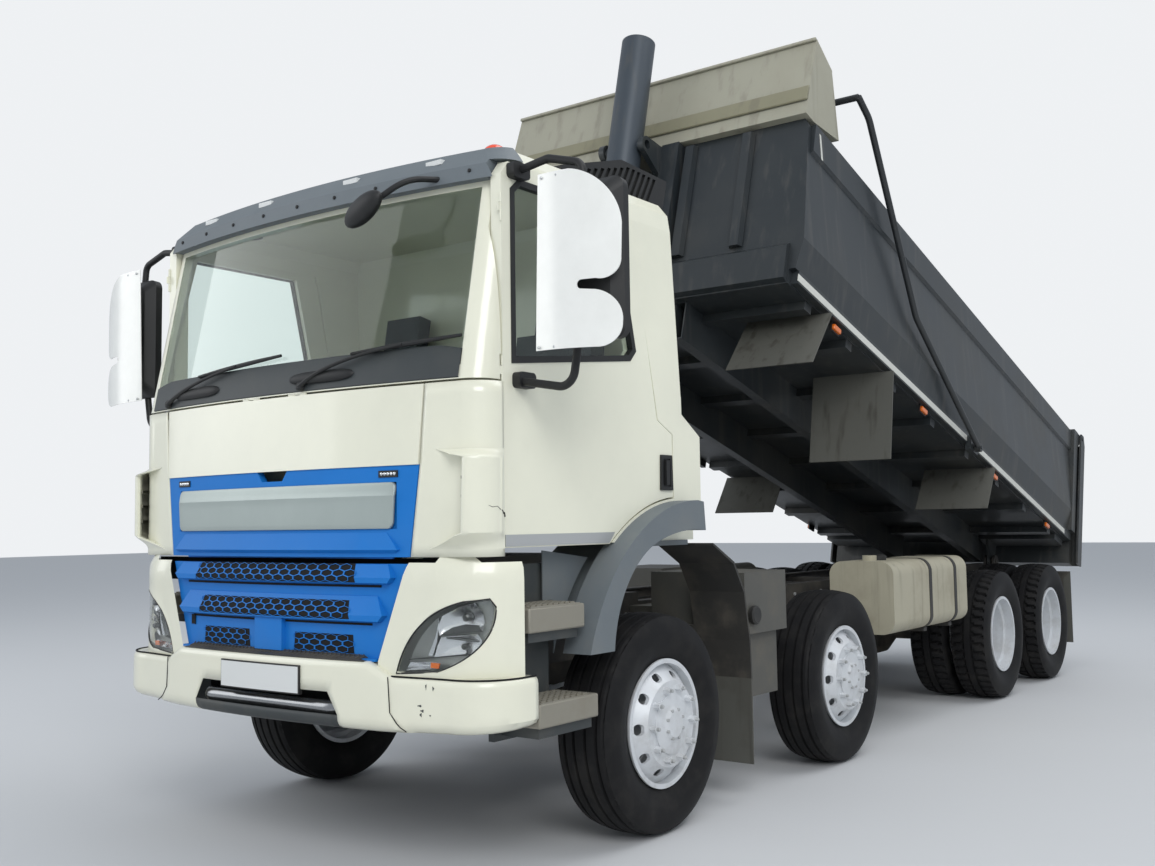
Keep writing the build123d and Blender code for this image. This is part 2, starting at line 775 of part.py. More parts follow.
screen_outline = mirrored_polygon([(1045.0, 2100.0), (1035.0, 2868.0)])
with BuildPart() as cab_shell:
    for z, rear, nose, half, corner in cab_lower_sections:
        with BuildSketch(plan_plane(z)):
            add(plan_outline(rear, nose, half, corner))
    loft(ruled=True)
    for z, rear, nose, half, corner in cab_upper_sections:
        with BuildSketch(plan_plane(z)):
            add(plan_outline(rear, nose, half, corner))
    loft(ruled=True)
    wall = cab_wall
    for z, rear, nose, half, corner in cab_lower_sections:
        lift = wall if z in (cab_floor_z, screen_base_z + 30) else 0
        with BuildSketch(plan_plane(z + lift)):
            add(plan_outline(rear + wall, nose - wall, half - wall, corner))
    loft(ruled=True, mode=Mode.SUBTRACT)
    for z, rear, nose, half, corner in cab_upper_sections[:-1]:
        lift = wall if z == hatch_top_z + hatch_top_gap else 0
        with BuildSketch(plan_plane(z + lift)):
            add(plan_outline(rear + wall, nose - wall, half - wall, corner - 20))
    loft(ruled=True, mode=Mode.SUBTRACT)
    with BuildSketch(cross_plane(1000)):
        with BuildLine():
            Polyline(*screen_outline)
        make_face()
    extrude(amount=400, mode=Mode.SUBTRACT)
    for side in (1, -1):
        with BuildSketch(slab_plane(side, cab_half_width - door_thick - door_gap, cab_half_width + 60)):
            add(door_outline(door_gap))
        extrude(amount=door_thick + door_gap + 60, mode=Mode.SUBTRACT)
    # Tilt lugs lean back from the pivot to the floor
    for side in (1, -1):
        with BuildSketch(slab_plane(side, 425, 450)):
            with BuildLine():
                Polyline(
                    (cab_pivot_ahead - 26, cab_pivot_z - 26),
                    (cab_pivot_ahead + 26, cab_pivot_z + 26),
                    (cab_pivot_ahead - 305, cab_floor_z + 10),
                    (cab_pivot_ahead - 420, cab_floor_z + 10),
                    (cab_pivot_ahead - 26, cab_pivot_z - 26),
                )
            make_face()
            with Locations((cab_pivot_ahead, cab_pivot_z)):
                Circle(37)
            with Locations((cab_pivot_ahead, cab_pivot_z)):
                Circle(cab_pin_radius + 0.8, mode=Mode.SUBTRACT)
        extrude(amount=25)
    # Door hinge pins stand in pockets of the front jambs, each on a web
    for side in (1, -1):
        for z in door_hinge_z:
            with BuildSketch(plan_plane(z - door_sleeve_end - 6)):
                with Locations((door_pin_ahead + 2, side * (cab_half_width - 3))):
                    Rectangle(22, 18)
            extrude(amount=2 * door_sleeve_end + 12, mode=Mode.SUBTRACT)
            with BuildSketch(plan_plane(z - door_sleeve_end)):
                with Locations((door_pin_ahead, side * cab_half_width)):
                    Circle(door_pin_radius)
            extrude(amount=2 * door_sleeve_end)
            with BuildSketch(plan_plane(z - door_web_half)):
                with Locations((door_web_x, side * door_web_y)):
                    Rectangle(door_web_reach, door_web_thick)
            extrude(amount=2 * door_web_half)
    # Hatch hinge pins hang under the screen's base
    for side in (1, -1):
        with BuildSketch(slab_plane(side, hatch_pin_y - 60, hatch_pin_y + 60)):
            with Locations((hatch_pin_ahead, hatch_pin_z)):
                Circle(hatch_pin_radius)
        extrude(amount=120)
        with BuildSketch(slab_plane(side, hatch_pin_y - 15, hatch_pin_y + 15)):
            with Locations((hatch_pin_ahead - 2, hatch_pin_z + 5)):
                Rectangle(4, 12)
        extrude(amount=30)
    # Wheel arches cut the lower rear corners of the sides
    for side in (1, -1):
        with BuildSketch(slab_plane(side, cab_half_width - cab_wall, cab_half_width + 10)):
            with Locations((door_arc_x, door_arc_z)):
                Circle(flare_radius + seat_gap)
        extrude(amount=cab_wall + 10, mode=Mode.SUBTRACT)
cab_shell.part.label = "cab_shell"
export_step(cab_shell.part, "parts/cab_shell.step")

# Windscreen: a bowed pane set 4 mm inside the skin
screen_inset = 4.0
screen_thick = 8.0
with BuildPart() as windscreen:
    for inset, mode in ((screen_inset, Mode.ADD), (screen_inset + screen_thick, Mode.SUBTRACT)):
        for z, rear, nose, half, corner in cab_upper_sections[:2]:
            with BuildSketch(plan_plane(z)):
                add(plan_outline(rear + 300, nose - inset, half - inset, corner))
        loft(ruled=True, mode=mode)
    with BuildSketch(cross_plane(900)):
        with BuildLine():
            Polyline(*mirrored_polygon([(1044.7, 2100.3), (1034.7, 2867.7)]))
        make_face()
    extrude(amount=500, mode=Mode.INTERSECT)
windscreen.part.label = "windscreen"
export_step(windscreen.part, "parts/windscreen.step")

# Sun visor: a cap over the roof's front edge
visor_stand = 0.4
# height, nose, half width, corner
visor_sections = [(2893, 1190, 1178, 120), (2960, 1178, 1172, 120), (3050, 1092, 1112, 110)]
with BuildPart() as sun_visor:
    for z, nose, half, corner in visor_sections:
        with BuildSketch(plan_plane(z)):
            add(plan_outline(850, nose, half, corner))
    loft(ruled=True)
    for z, rear, nose, half, corner in cab_upper_sections:
        with BuildSketch(plan_plane(z)):
            add(plan_outline(rear, nose + visor_stand, half + visor_stand, corner))
    loft(ruled=True, mode=Mode.SUBTRACT)
    with BuildSketch(cross_plane(800)):
        with Locations((0, 2930)):
            Rectangle(3000, 400)
    extrude(amount=140, mode=Mode.SUBTRACT)
    # The ends stop ahead of the doors
    for side in (1, -1):
        with BuildSketch(slab_plane(side, 1080, 1300)):
            with Locations((940, 2900)):
                Rectangle(290, 152)
        extrude(amount=220, mode=Mode.SUBTRACT)
sun_visor.part.label = "sun_visor"
export_step(sun_visor.part, "parts/sun_visor.step")

# Front hatch: white upper panel, upper grille and bar, hung under the screen
with BuildPart() as front_hatch:
    for z, nose, half in (
        (hatch_split_z, hatch_nose + 6, hatch_half_mid),
        (hatch_top_z, hatch_nose - 4, hatch_half_top),
    ):
        with BuildSketch(plan_plane(z)):
            add(front_band(nose, 30, half))
    loft(ruled=True)
    for side in (1, -1):
        for inner in (hatch_pin_y - 58, hatch_pin_y + 18):
            with BuildSketch(slab_plane(side, inner, inner + 40)):
                with Locations((hatch_pin_ahead, hatch_pin_z)):
                    Circle(hatch_sleeve_radius)
                with Locations((hatch_pin_ahead - 1, hatch_pin_z - 5)):
                    Rectangle(6, 8)
                with Locations((hatch_pin_ahead, hatch_pin_z)):
                    Circle(hatch_pin_radius + 0.3, mode=Mode.SUBTRACT)
            extrude(amount=40)
front_hatch.part.label = "front_hatch"
export_step(front_hatch.part, "parts/front_hatch.step")

bar_low_z = 1438.0
bar_fold_z = 1575.0
bar_top_z = 1632.0
bar_half = 742.0
# Lip under the bar: height, how far it stands out, half width
lip_sections = [(1338.0, 2.0, 735.0), (1352.0, 20.0, 760.0), (1424.0, 1.0, 690.0)]
grip_half_low = 70.0
grip_half_top = 105.0
grip_low_z = 1655.0
with BuildPart() as upper_grille:
    for z, nose, half in (
        (hatch_low_z, hatch_nose, hatch_half_low),
        (hatch_split_z - seat_gap, hatch_nose, hatch_half_mid),
    ):
        with BuildSketch(plan_plane(z)):
            add(front_band(nose, 34, half))
    loft(ruled=True)
    with BuildSketch(plan_plane(bar_low_z)):
        add(front_band(hatch_nose + 20, 36, bar_half))
    extrude(amount=bar_top_z - bar_low_z, mode=Mode.SUBTRACT)
    for z, stand, half in lip_sections:
        with BuildSketch(plan_plane(z)):
            add(front_band(hatch_nose + stand, 20, half))
    loft(ruled=True)
    # Hand grip in the top edge
    with BuildSketch(cross_plane(1200)):
        Polygon(
            (-grip_half_low, grip_low_z),
            (grip_half_low, grip_low_z),
            (grip_half_top, hatch_split_z + 2),
            (-grip_half_top, hatch_split_z + 2),
            align=None,
        )
    extrude(amount=200, mode=Mode.SUBTRACT)
upper_grille.part.label = "upper_grille"
export_step(upper_grille.part, "parts/upper_grille.step")

with BuildPart() as grille_bar:
    for z, stand in (
        (bar_low_z + seat_gap, 12),
        (bar_fold_z, 14),
        (bar_top_z - seat_gap, 2),
    ):
        with BuildSketch(plan_plane(z)):
            add(front_band(hatch_nose + stand, stand + 16 - seat_gap, bar_half - seat_gap))
    loft(ruled=True)
grille_bar.part.label = "grille_bar"
export_step(grille_bar.part, "parts/grille_bar.step")

# Corner panels: from the hatch round to the doors, each with a slatted air duct behind its hood
corner_half = 1166.0
hood_half = 1236.0
hood_low_z = 1362.0
hood_top_z = 1768.0
hood_front = 1206.0
hood_rear = 1090.0
hood_skin = 14.0
slat_count = 3
with BuildPart() as corner_panels:
    with BuildSketch(plan_plane(hatch_low_z)):
        add(plan_outline(1090, hatch_nose, corner_half, 130))
        add(plan_outline(1000, hatch_nose - 30, corner_half - 20, 110), mode=Mode.SUBTRACT)
    extrude(amount=hatch_top_z - hatch_low_z)
    with BuildSketch(plan_plane(hood_low_z)):
        add(plan_outline(1000, hatch_nose, hood_half, 150))
        add(plan_outline(900, hatch_nose - 20, hood_half - hood_skin, 140), mode=Mode.SUBTRACT)
        with Locations((0.5 * (hood_rear + hood_front), 0)):
            Rectangle(hood_front - hood_rear, 3000, mode=Mode.INTERSECT)
    extrude(amount=hood_top_z - hood_low_z)
    # Hood ends, and slats between them
    slat_step = (hood_top_z - hood_low_z - hood_skin) / (slat_count + 1)
    for number in range(slat_count + 2):
        front = hood_front if number in (0, slat_count + 1) else hood_front - 40
        with BuildSketch(plan_plane(hood_low_z + number * slat_step)):
            add(plan_outline(1000, hatch_nose, hood_half - 2, 150))
            add(plan_outline(900, hatch_nose - 10, corner_half - 10, 120), mode=Mode.SUBTRACT)
            with Locations((0.5 * (hood_rear + front), 0)):
                Rectangle(front - hood_rear, 3000, mode=Mode.INTERSECT)
        extrude(amount=hood_skin)
    with BuildSketch(cross_plane(900)):
        with BuildLine():
            Polyline(
                *mirrored_polygon(
                    [
                        (hatch_half_low + panel_gap, hatch_low_z - 2),
                        (hatch_half_mid + panel_gap, hatch_split_z),
                        (hatch_half_top + 2 * panel_gap, hatch_top_z + 2),
                    ]
                )
            )
        make_face()
    extrude(amount=500, mode=Mode.SUBTRACT)
    # Inner flanges seat the panels on the shell
    for side in (1, -1):
        with BuildSketch(slab_plane(side, 900, 1085)):
            with Locations((1150, 1700)):
                Rectangle(180, 60)
        extrude(amount=185)
    with BuildSketch(plan_plane(hood_low_z - 60)):
        add(plan_outline(-400, 1140 + seat_gap, cab_half_width + seat_gap, 60))
    extrude(amount=hood_top_z - hood_low_z + 400, mode=Mode.SUBTRACT)
    # Pockets clear the webs of the door's hinge pins
    for side in (1, -1):
        for z in door_hinge_z:
            with BuildSketch(plan_plane(z - door_web_half - seat_gap)):
                with Locations((door_web_x, side * door_web_y)):
                    Rectangle(door_web_reach + 2 * seat_gap, door_web_thick + 2 * seat_gap)
            extrude(amount=2 * (door_web_half + seat_gap), mode=Mode.SUBTRACT)
corner_panels.part.label = "corner_panels"
export_step(corner_panels.part, "parts/corner_panels.step")

# Bumper with lamp panels, and the headlamps in them
split_y = 756.0
split_groove = 5.0
intake_low_half = 490.0
intake_top_half = 400.0


def lamp_face(side):
    """Front outline of a headlamp: a leaf with its point at the lower inner corner."""
    with BuildSketch(Plane.XY, mode=Mode.PRIVATE) as face:
        with BuildLine():
            ThreePointArc((side * 758, 852), (side * 856, 1042), (side * 1065, 1146))
            Polyline((side * 1065, 1146), (side * 1146, 1156), (side * 1162, 1123))
            ThreePointArc((side * 1162, 1123), (side * 1120, 970), (side * 962, 868))
            Line((side * 962, 868), (side * 758, 852))
        make_face()
    return face.sketch


with BuildPart() as bumper:
    # Lamp panels, swept back at their corners, cut for the grille between them
    with BuildSketch(plan_plane(bumper_end_z - 2)):
        add(plan_outline(900, lamp_nose, lamp_half, lamp_corner))
        add(
            plan_outline(800, lamp_nose - bumper_wall, lamp_half - bumper_wall, lamp_corner - bumper_wall),
            mode=Mode.SUBTRACT,
        )
        with Locations((1035 + 500, 0)):
            Rectangle(1000, 3000, mode=Mode.INTERSECT)
    extrude(amount=lamp_panel_top_z - bumper_end_z + 2)
    with BuildSketch(cross_plane(800)):
        with BuildLine():
            Polyline(
                *mirrored_polygon(
                    [
                        (grille_low_half + panel_gap, bumper_end_z - 5),
                        (grille_low_half + panel_gap, bumper_top_z),
                        (hatch_half_low + panel_gap - 3, lamp_panel_top_z + 5),
                    ]
                )
            )
        make_face()
    extrude(amount=700, mode=Mode.SUBTRACT)
    # Bumper: full height in the middle, lower at the ends
    for low, top, half in (
        (bumper_low_z, bumper_end_z, 2000.0),
        (bumper_end_z - 2, bumper_top_z, bumper_end_y),
    ):
        with BuildSketch(plan_plane(low)):
            add(plan_outline(985, bumper_nose, bumper_half, bumper_corner))
            add(
                plan_outline(900, bumper_nose - bumper_wall, bumper_half - bumper_wall, bumper_corner - 40),
                mode=Mode.SUBTRACT,
            )
            with Locations((1235, 0)):
                Rectangle(500, 2 * half, mode=Mode.INTERSECT)
        extrude(amount=top - low)
    for side in (1, -1):
        with BuildSketch(cross_plane(1000)):
            add(lamp_face(side))
        extrude(amount=400, mode=Mode.SUBTRACT)
        # Groove where the corner piece meets the middle
        with BuildSketch(slab_plane(side, split_y - split_groove, split_y)):
            with Locations((1380, 750)):
                Rectangle(100, 400)
        extrude(amount=split_groove, mode=Mode.SUBTRACT)
    # Low air opening, wider at its foot
    with BuildSketch(cross_plane(1200)):
        Polygon(
            (-intake_low_half, 655),
            (intake_low_half, 655),
            (intake_top_half, 755),
            (-intake_top_half, 755),
            align=None,
        )
    extrude(amount=300, mode=Mode.SUBTRACT)
    # Carriers to the frame's front
    for side in (1, -1):
        with BuildSketch(slab_plane(side, 350, 430)):
            with Locations((0.5 * (frame_front_ahead + seat_gap + 1345), 800)):
                Rectangle(1345 - frame_front_ahead - seat_gap, 120)
        extrude(amount=80)
bumper.part.label = "bumper"
export_step(bumper.part, "parts/bumper.step")

with BuildPart() as headlamps:
    for side in (1, -1):
        with BuildSketch(cross_plane(1000)):
            add(lamp_face(side))
            offset(amount=-seat_gap, mode=Mode.REPLACE)
        extrude(amount=400)
    with BuildSketch(plan_plane(700)):
        add(plan_outline(900, lamp_nose - 4, lamp_half - 4, lamp_corner - 4))
        add(
            plan_outline(800, lamp_nose - bumper_wall, lamp_half - bumper_wall, lamp_corner - bumper_wall),
            mode=Mode.SUBTRACT,
        )
    extrude(amount=600, mode=Mode.INTERSECT)
headlamps.part.label = "headlamps"
export_step(headlamps.part, "parts/headlamps.step")

# Lower grille: three tiers over a bowed panel, with honeycomb windows through them
grille_nose = 1318.0
grille_thick = 18.0
# height, how far the tier stands out, half width
tier_sections = [
    [(1208.0, 4.0, 690.0), (1216.0, 32.0, 715.0), (1238.0, 34.0, 735.0), (1292.0, 8.0, 700.0)],
    [(1050.0, 4.0, 645.0), (1058.0, 32.0, 665.0), (1082.0, 34.0, 690.0), (1160.0, 4.0, 640.0)],
]
# windows: middle y, lowest row's height, cells in a row, rows
comb_table = [(0.0, 1230.0, 16, 3), (0.0, 1078.0, 15, 3), (-330.0, 935.0, 5, 3), (330.0, 935.0, 5, 3)]
cell_pitch = 66.0
cell_rise = 24.0
cell_half = 26.0
cell_half_height = 10.0
tab_half = 92.0
with BuildPart() as lower_grille:
    for z, half in ((bumper_top_z + seat_gap, grille_low_half), (lamp_panel_top_z - 6, hatch_half_low - 8)):
        with BuildSketch(plan_plane(z)):
            add(front_band(grille_nose, grille_thick, half))
    loft(ruled=True)
    with BuildSketch(plan_plane(bumper_top_z + seat_gap)):
        add(front_band(1350, 60, grille_low_half))
    extrude(amount=10)
    for sections in tier_sections:
        for z, stand, half in sections:
            with BuildSketch(plan_plane(z)):
                add(front_band(grille_nose + stand, grille_thick + stand - 2, half))
        loft(ruled=True)
    # Tow cover tab under the middle of the lower tier
    with BuildSketch(plan_plane(bumper_top_z + 20)):
        add(front_band(grille_nose + 22, 30, tab_half))
    extrude(amount=150)
    with BuildSketch(cross_plane(1200)):
        for middle, low, count, rows in comb_table:
            for row in range(rows):
                shift = 0.25 * cell_pitch * (1 if row % 2 else -1)
                with Locations((middle + shift, low + row * cell_rise)):
                    with GridLocations(cell_pitch, cell_rise, count, 1):
                        Polygon(
                            (cell_half, 0),
                            (0.5 * cell_half, cell_half_height),
                            (-0.5 * cell_half, cell_half_height),
                            (-cell_half, 0),
                            (-0.5 * cell_half, -cell_half_height),
                            (0.5 * cell_half, -cell_half_height),
                            align=None,
                        )
    extrude(amount=200, mode=Mode.SUBTRACT)
lower_grille.part.label = "lower_grille"
export_step(lower_grille.part, "parts/lower_grille.step")

# Doors, their glass and the mirrors that ride on them
glass_inset = 14.0
glass_thick = 8.0
mirror_post = 17.0
for side_name, side in sides:
    with BuildPart() as door:
        with BuildSketch(slab_plane(side, cab_half_width - door_thick, cab_half_width)):
            add(door_outline())
            add(window_outline(), mode=Mode.SUBTRACT)
        extrude(amount=door_thick)
        for z in door_hinge_z:
            for low in (z - door_sleeve_end + 2, z + door_web_half + 2):
                with BuildSketch(plan_plane(low)):
                    with Locations((door_pin_ahead, side * cab_half_width)):
                        Circle(door_sleeve_radius)
                    with Locations((door_pin_ahead - 4, side * (cab_half_width - 2))):
                        Rectangle(8, 5)
                    with Locations((door_pin_ahead, side * cab_half_width)):
                        Circle(door_pin_radius + 0.3, mode=Mode.SUBTRACT)
                extrude(amount=door_sleeve_end - door_web_half - 4)
    door.part.label = f"door_{side_name}"
    export_step(door.part, f"parts/{door.part.label}.step")

    with BuildPart() as door_glass:
        face = cab_half_width - glass_inset
        with BuildSketch(slab_plane(side, face - glass_thick, face)):
            add(window_outline(-seat_gap))
        extrude(amount=glass_thick)
    door_glass.part.label = f"door_glass_{side_name}"
    export_step(door_glass.part, f"parts/{door_glass.part.label}.step")

    with BuildPart() as mirror:
        # Bowed sheet guard, cut round on its outer edge, with a notch to see past
        with BuildSketch(plan_plane(2100)):
            with BuildLine():
                ThreePointArc((1102, side * 1340), (1118, side * 1500), (1058, side * 1742))
                Line((1058, side * 1742), (1054, side * 1742))
                ThreePointArc((1054, side * 1742), (1114, side * 1500), (1098, side * 1340))
                Line((1098, side * 1340), (1102, side * 1340))
            make_face()
        extrude(amount=780)
        with BuildSketch(cross_plane(1000)):
            with BuildLine():
                Line((side * 1372, 2843), (side * 1530, 2838))
                ThreePointArc((side * 1530, 2838), (side * 1672, 2762), (side * 1740, 2600))
                Line((side * 1740, 2600), (side * 1736, 2460))
                ThreePointArc((side * 1736, 2460), (side * 1712, 2408), (side * 1640, 2392))
                Line((side * 1640, 2392), (side * 1580, 2392))
                ThreePointArc((side * 1580, 2392), (side * 1562, 2374), (side * 1580, 2356))
                Line((side * 1580, 2356), (side * 1625, 2350))
                ThreePointArc((side * 1625, 2350), (side * 1716, 2300), (side * 1738, 2215))
                ThreePointArc((side * 1738, 2215), (side * 1712, 2150), (side * 1640, 2125))
                Line((side * 1640, 2125), (side * 1350, 2135))
                Line((side * 1350, 2135), (side * 1372, 2843))
            make_face()
        extrude(amount=200, mode=Mode.INTERSECT)
        # Case, narrower ahead, on two pins behind the guard
        for ahead, wide, tall in ((960, 320, 640), (1000, 326, 646), (1045, 250, 560)):
            with BuildSketch(cross_plane(ahead)):
                with Locations((side * 1548, 2488)):
                    RectangleRounded(wide, tall, 45)
        loft(ruled=True)
        with BuildSketch(cross_plane(1040)):
            with Locations((side * 1500, 2290), (side * 1500, 2690)):
                Circle(8)
        extrude(amount=76)
        # Arms from the door: a bent tube below, a flatter one above
        lower_route = [(985, 1170, 2040), (985, 1440, 1990), (985, 1480, 2220)]
        upper_route = [(985, 1152, 2925), (985, 1330, 2950), (985, 1500, 2900), (985, 1515, 2780)]
        for route, bend in ((lower_route, 70), (upper_route, 50)):
            with BuildLine() as arm_line:
                FilletPolyline(*[(front_axle_x + a, side * y, z) for a, y, z in route], radius=bend)
            with BuildSketch(Plane(origin=arm_line.line @ 0, z_dir=arm_line.line % 0)):
                Circle(mirror_post)
            sweep(path=arm_line.line)
        with BuildSketch(slab_plane(side, cab_half_width + seat_gap, 1190)):
            with Locations((960, 2045), (985, 2925)):
                RectangleRounded(110, 66, 20)
        extrude(amount=1190 - cab_half_width - seat_gap)
    mirror.part.label = f"mirror_{side_name}"
    export_step(mirror.part, f"parts/{mirror.part.label}.step")

# Wheel arch flares on the cab's sides
flare_low_z = 889.0
flare_front_x = door_arc_x + sqrt(flare_radius**2 - (flare_low_z - door_arc_z) ** 2)
flare_shoulder_x = door_arc_x + flare_radius * sin(radians(36))
flare_shoulder_z = door_arc_z + flare_radius * cos(radians(36))
with BuildPart() as arch_flares:
    for side in (1, -1):
        with BuildSketch(slab_plane(side, cab_half_width - cab_wall + seat_gap, 1250)):
            with BuildLine():
                ThreePointArc(
                    (flare_front_x, flare_low_z),
                    (flare_shoulder_x, flare_shoulder_z),
                    (door_arc_x, door_arc_z + flare_radius),
                )
                Polyline(
                    (door_arc_x, door_arc_z + flare_radius),
                    (-332, 1548),
                    (-346, 1407),
                )
                ThreePointArc((-346, 1407), (-110, 1403), (125, 1345))
                ThreePointArc((125, 1345), (370, 1135), (452, flare_low_z))
                Line((452, flare_low_z), (flare_front_x, flare_low_z))
            make_face()
        extrude(amount=1250 - cab_half_width + cab_wall - seat_gap)
        with BuildSketch(slab_plane(side, 720, 1110)):
            with BuildLine():
                Polyline(
                    (452, 960),
                    (370, 1135),
                    (230, 1270),
                    (125, 1335),
                    (-400, 1335),
                    (-400, cab_floor_z - seat_gap),
                    (140, cab_floor_z - seat_gap),
                    (270, 1280),
                    (400, 1140),
                    (475, 960),
                    (452, 960),
                )
            make_face()
        extrude(amount=390)
arch_flares.part.label = "arch_flares"
export_step(arch_flares.part, "parts/arch_flares.step")

# Entry steps: a box with two treads on each side, carried by the rails
with BuildPart() as entry_steps:
    for side in (1, -1):
        with BuildSketch(slab_plane(side, 1000, 1030)):
            with BuildLine():
                Polyline((645, 560), (1010, 560), (1010, 1280), (700, 1280), (655, 1110), (645, 560))
            make_face()
        extrude(amount=30)
        with BuildSketch(slab_plane(side, 1020, 1225)):
            with BuildLine():
                Polyline((634, 967), (1010, 967), (1010, 1110), (654, 1110), (634, 967))
            make_face()
        extrude(amount=205)
        with BuildSketch(slab_plane(side, 1020, 1250)):
            with BuildLine():
                Polyline((575, 600), (980, 580), (980, 715), (600, 735), (575, 600))
            make_face()
        extrude(amount=230)
        with BuildSketch(slab_plane(side, rail_half_width + seat_gap, 1010)):
            with Locations((850, 800)):
                Rectangle(70, 70)
        extrude(amount=1010 - rail_half_width - seat_gap)
entry_steps.part.label = "entry_steps"
export_step(entry_steps.part, "parts/entry_steps.step")

# Intake hood on the roof's rear left corner
louvre_count = 13
louvre_front = 330.0
louvre_pitch = 48.0
louvre_slot = 26.0
louvre_lean = 8.0
intake_outline = [(476.0, 3040.0), (476.0, 3106.0), (-14.0, 3247.0), (-427.0, 3228.0), (-374.0, 3040.0)]
with BuildPart() as air_intake:
    with BuildSketch(slab_plane(1, 520, 1010)):
        with BuildLine():
            Polyline(*intake_outline, intake_outline[0])
        make_face()
    extrude(amount=490)
    for z, rear, nose, half, corner in cab_upper_sections[2:]:
        with BuildSketch(plan_plane(z + seat_gap)):
            add(plan_outline(rear - 250, nose, half + seat_gap, corner))
    loft(ruled=True, mode=Mode.SUBTRACT)
    # Slanted louvres in the outer face
    with BuildSketch(slab_plane(1, 998, 1010)):
        for number in range(louvre_count):
            ahead = louvre_front - number * louvre_pitch
            top = min(3106 + (476 - ahead) * 0.288, 3247 - (-14 - ahead) * 0.046) - 24
            with BuildLine():
                Polyline(
                    (ahead, 3090 - louvre_lean),
                    (ahead + louvre_slot, 3090 - louvre_lean),
                    (ahead + louvre_slot - 0.5 * (top - 3060), top),
                    (ahead - 0.5 * (top - 3060), top),
                    (ahead, 3090 - louvre_lean),
                )
            make_face()
    extrude(amount=12, mode=Mode.SUBTRACT)
air_intake.part.label = "air_intake"
export_step(air_intake.part, "parts/air_intake.step")

# Cab interior: two seats, and the dashboard with column and wheel on the right
seat_x = 200.0
seat_y = 560.0
with BuildPart() as seats:
    for side in (1, -1):
        with BuildSketch(slab_plane(side, seat_y - 250, seat_y + 250)):
            with BuildLine():
                Polyline(
                    (seat_x - 210, cab_floor_z + cab_wall + seat_gap),
                    (seat_x + 150, cab_floor_z + cab_wall + seat_gap),
                    (seat_x + 170, 1700),
                    (seat_x + 260, 1720),
                    (seat_x + 260, 1830),
                    (seat_x - 120, 1820),
                    (seat_x - 230, 2430),
                    (seat_x - 330, 2420),
                    (seat_x - 240, 1740),
                    (seat_x - 210, cab_floor_z + cab_wall + seat_gap),
                )
            make_face()
        extrude(amount=500)
        with BuildSketch(slab_plane(side, seat_y - 130, seat_y + 130)):
            with Locations((seat_x - 290, 2520)):
                Rectangle(90, 220, rotation=10)
        extrude(amount=260)

steering_wheel_radius = 225.0
with BuildPart() as cab_interior:
    add(seats.part)
    with BuildSketch(plan_plane(1640)):
        add(plan_outline(820, 1086, 1085, 110))
    extrude(amount=330)
    with BuildSketch(plan_plane(1720)):
        add(front_band(1090 - seat_gap, 30, 400))
    extrude(amount=80)
    with BuildSketch(side_plane(1200)):
        with BuildLine():
            Polyline((810, 1630), (940, 1630), (810, 1800), (810, 1630))
        make_face()
    extrude(amount=2400, mode=Mode.SUBTRACT)
    wheel_point = Vector(front_axle_x + 690, -seat_y, 1960)
    column = Vector(cos(radians(50)), 0, -sin(radians(50)))
    with BuildSketch(Plane(origin=wheel_point, z_dir=column)):
        Circle(30)
    extrude(amount=330)
    with BuildSketch(Plane(origin=wheel_point, z_dir=column)):
        Rectangle(2 * steering_wheel_radius, 50)
    extrude(amount=20)
    ring_plane = Plane(origin=wheel_point, x_dir=(0, 1, 0), z_dir=(column.Z, 0, -column.X))
    with BuildSketch(ring_plane):
        with Locations((steering_wheel_radius, 0)):
            Circle(16)
    revolve(axis=Axis(wheel_point, column))
cab_interior.part.label = "cab_interior"
export_step(cab_interior.part, "parts/cab_interior.step")

# Fuel tank on the left rail, with its brackets and straps
tank_front = -2830.0
tank_length = 1420.0
tank_low_z = 680.0
tank_top_z = 1165.0
tank_inner = 745.0
tank_outer = 1200.0
tank_corner = 90.0
tank_plane_back = tank_front - tank_length
strap_stations = [-3500.0, -4000.0]
tank_mid = (0.5 * (tank_inner + tank_outer), 0.5 * (tank_low_z + tank_top_z))
with BuildPart() as fuel_tank:
    with BuildSketch(cross_plane(tank_plane_back)):
        with Locations(tank_mid):
            RectangleRounded(tank_outer - tank_inner, tank_top_z - tank_low_z, tank_corner)
    extrude(amount=tank_length)
    with BuildSketch(plan_plane(tank_top_z - 10)):
        with Locations((tank_front - 180, 960)):
            Circle(48)
    extrude(amount=45)
fuel_tank.part.label = "fuel_tank"
export_step(fuel_tank.part, "parts/fuel_tank.step")

with BuildPart() as tank_straps:
    for station in strap_stations:
        with BuildSketch(cross_plane(station - 30)):
            with BuildLine():
                Polyline(
                    (rail_half_width + seat_gap, 740),
                    (rail_half_width + seat_gap, 940),
                    (rail_half_width + 90, 940),
                    (tank_inner - 40, 700),
                    (tank_inner - 40, tank_low_z - seat_gap),
                    (1150, tank_low_z - seat_gap),
                    (1150, 655),
                    (560, 640),
                    (rail_half_width + seat_gap, 740),
                )
            make_face()
        extrude(amount=60)
        with BuildSketch(cross_plane(station - 25)):
            for grow, mode in ((4.0, Mode.ADD), (seat_gap, Mode.SUBTRACT)):
                with Locations(tank_mid):
                    RectangleRounded(
                        tank_outer - tank_inner + 2 * grow,
                        tank_top_z - tank_low_z + 2 * grow,
                        tank_corner + grow,
                        mode=mode,
                    )
        extrude(amount=50)
tank_straps.part.label = "tank_straps"
export_step(tank_straps.part, "parts/tank_straps.step")

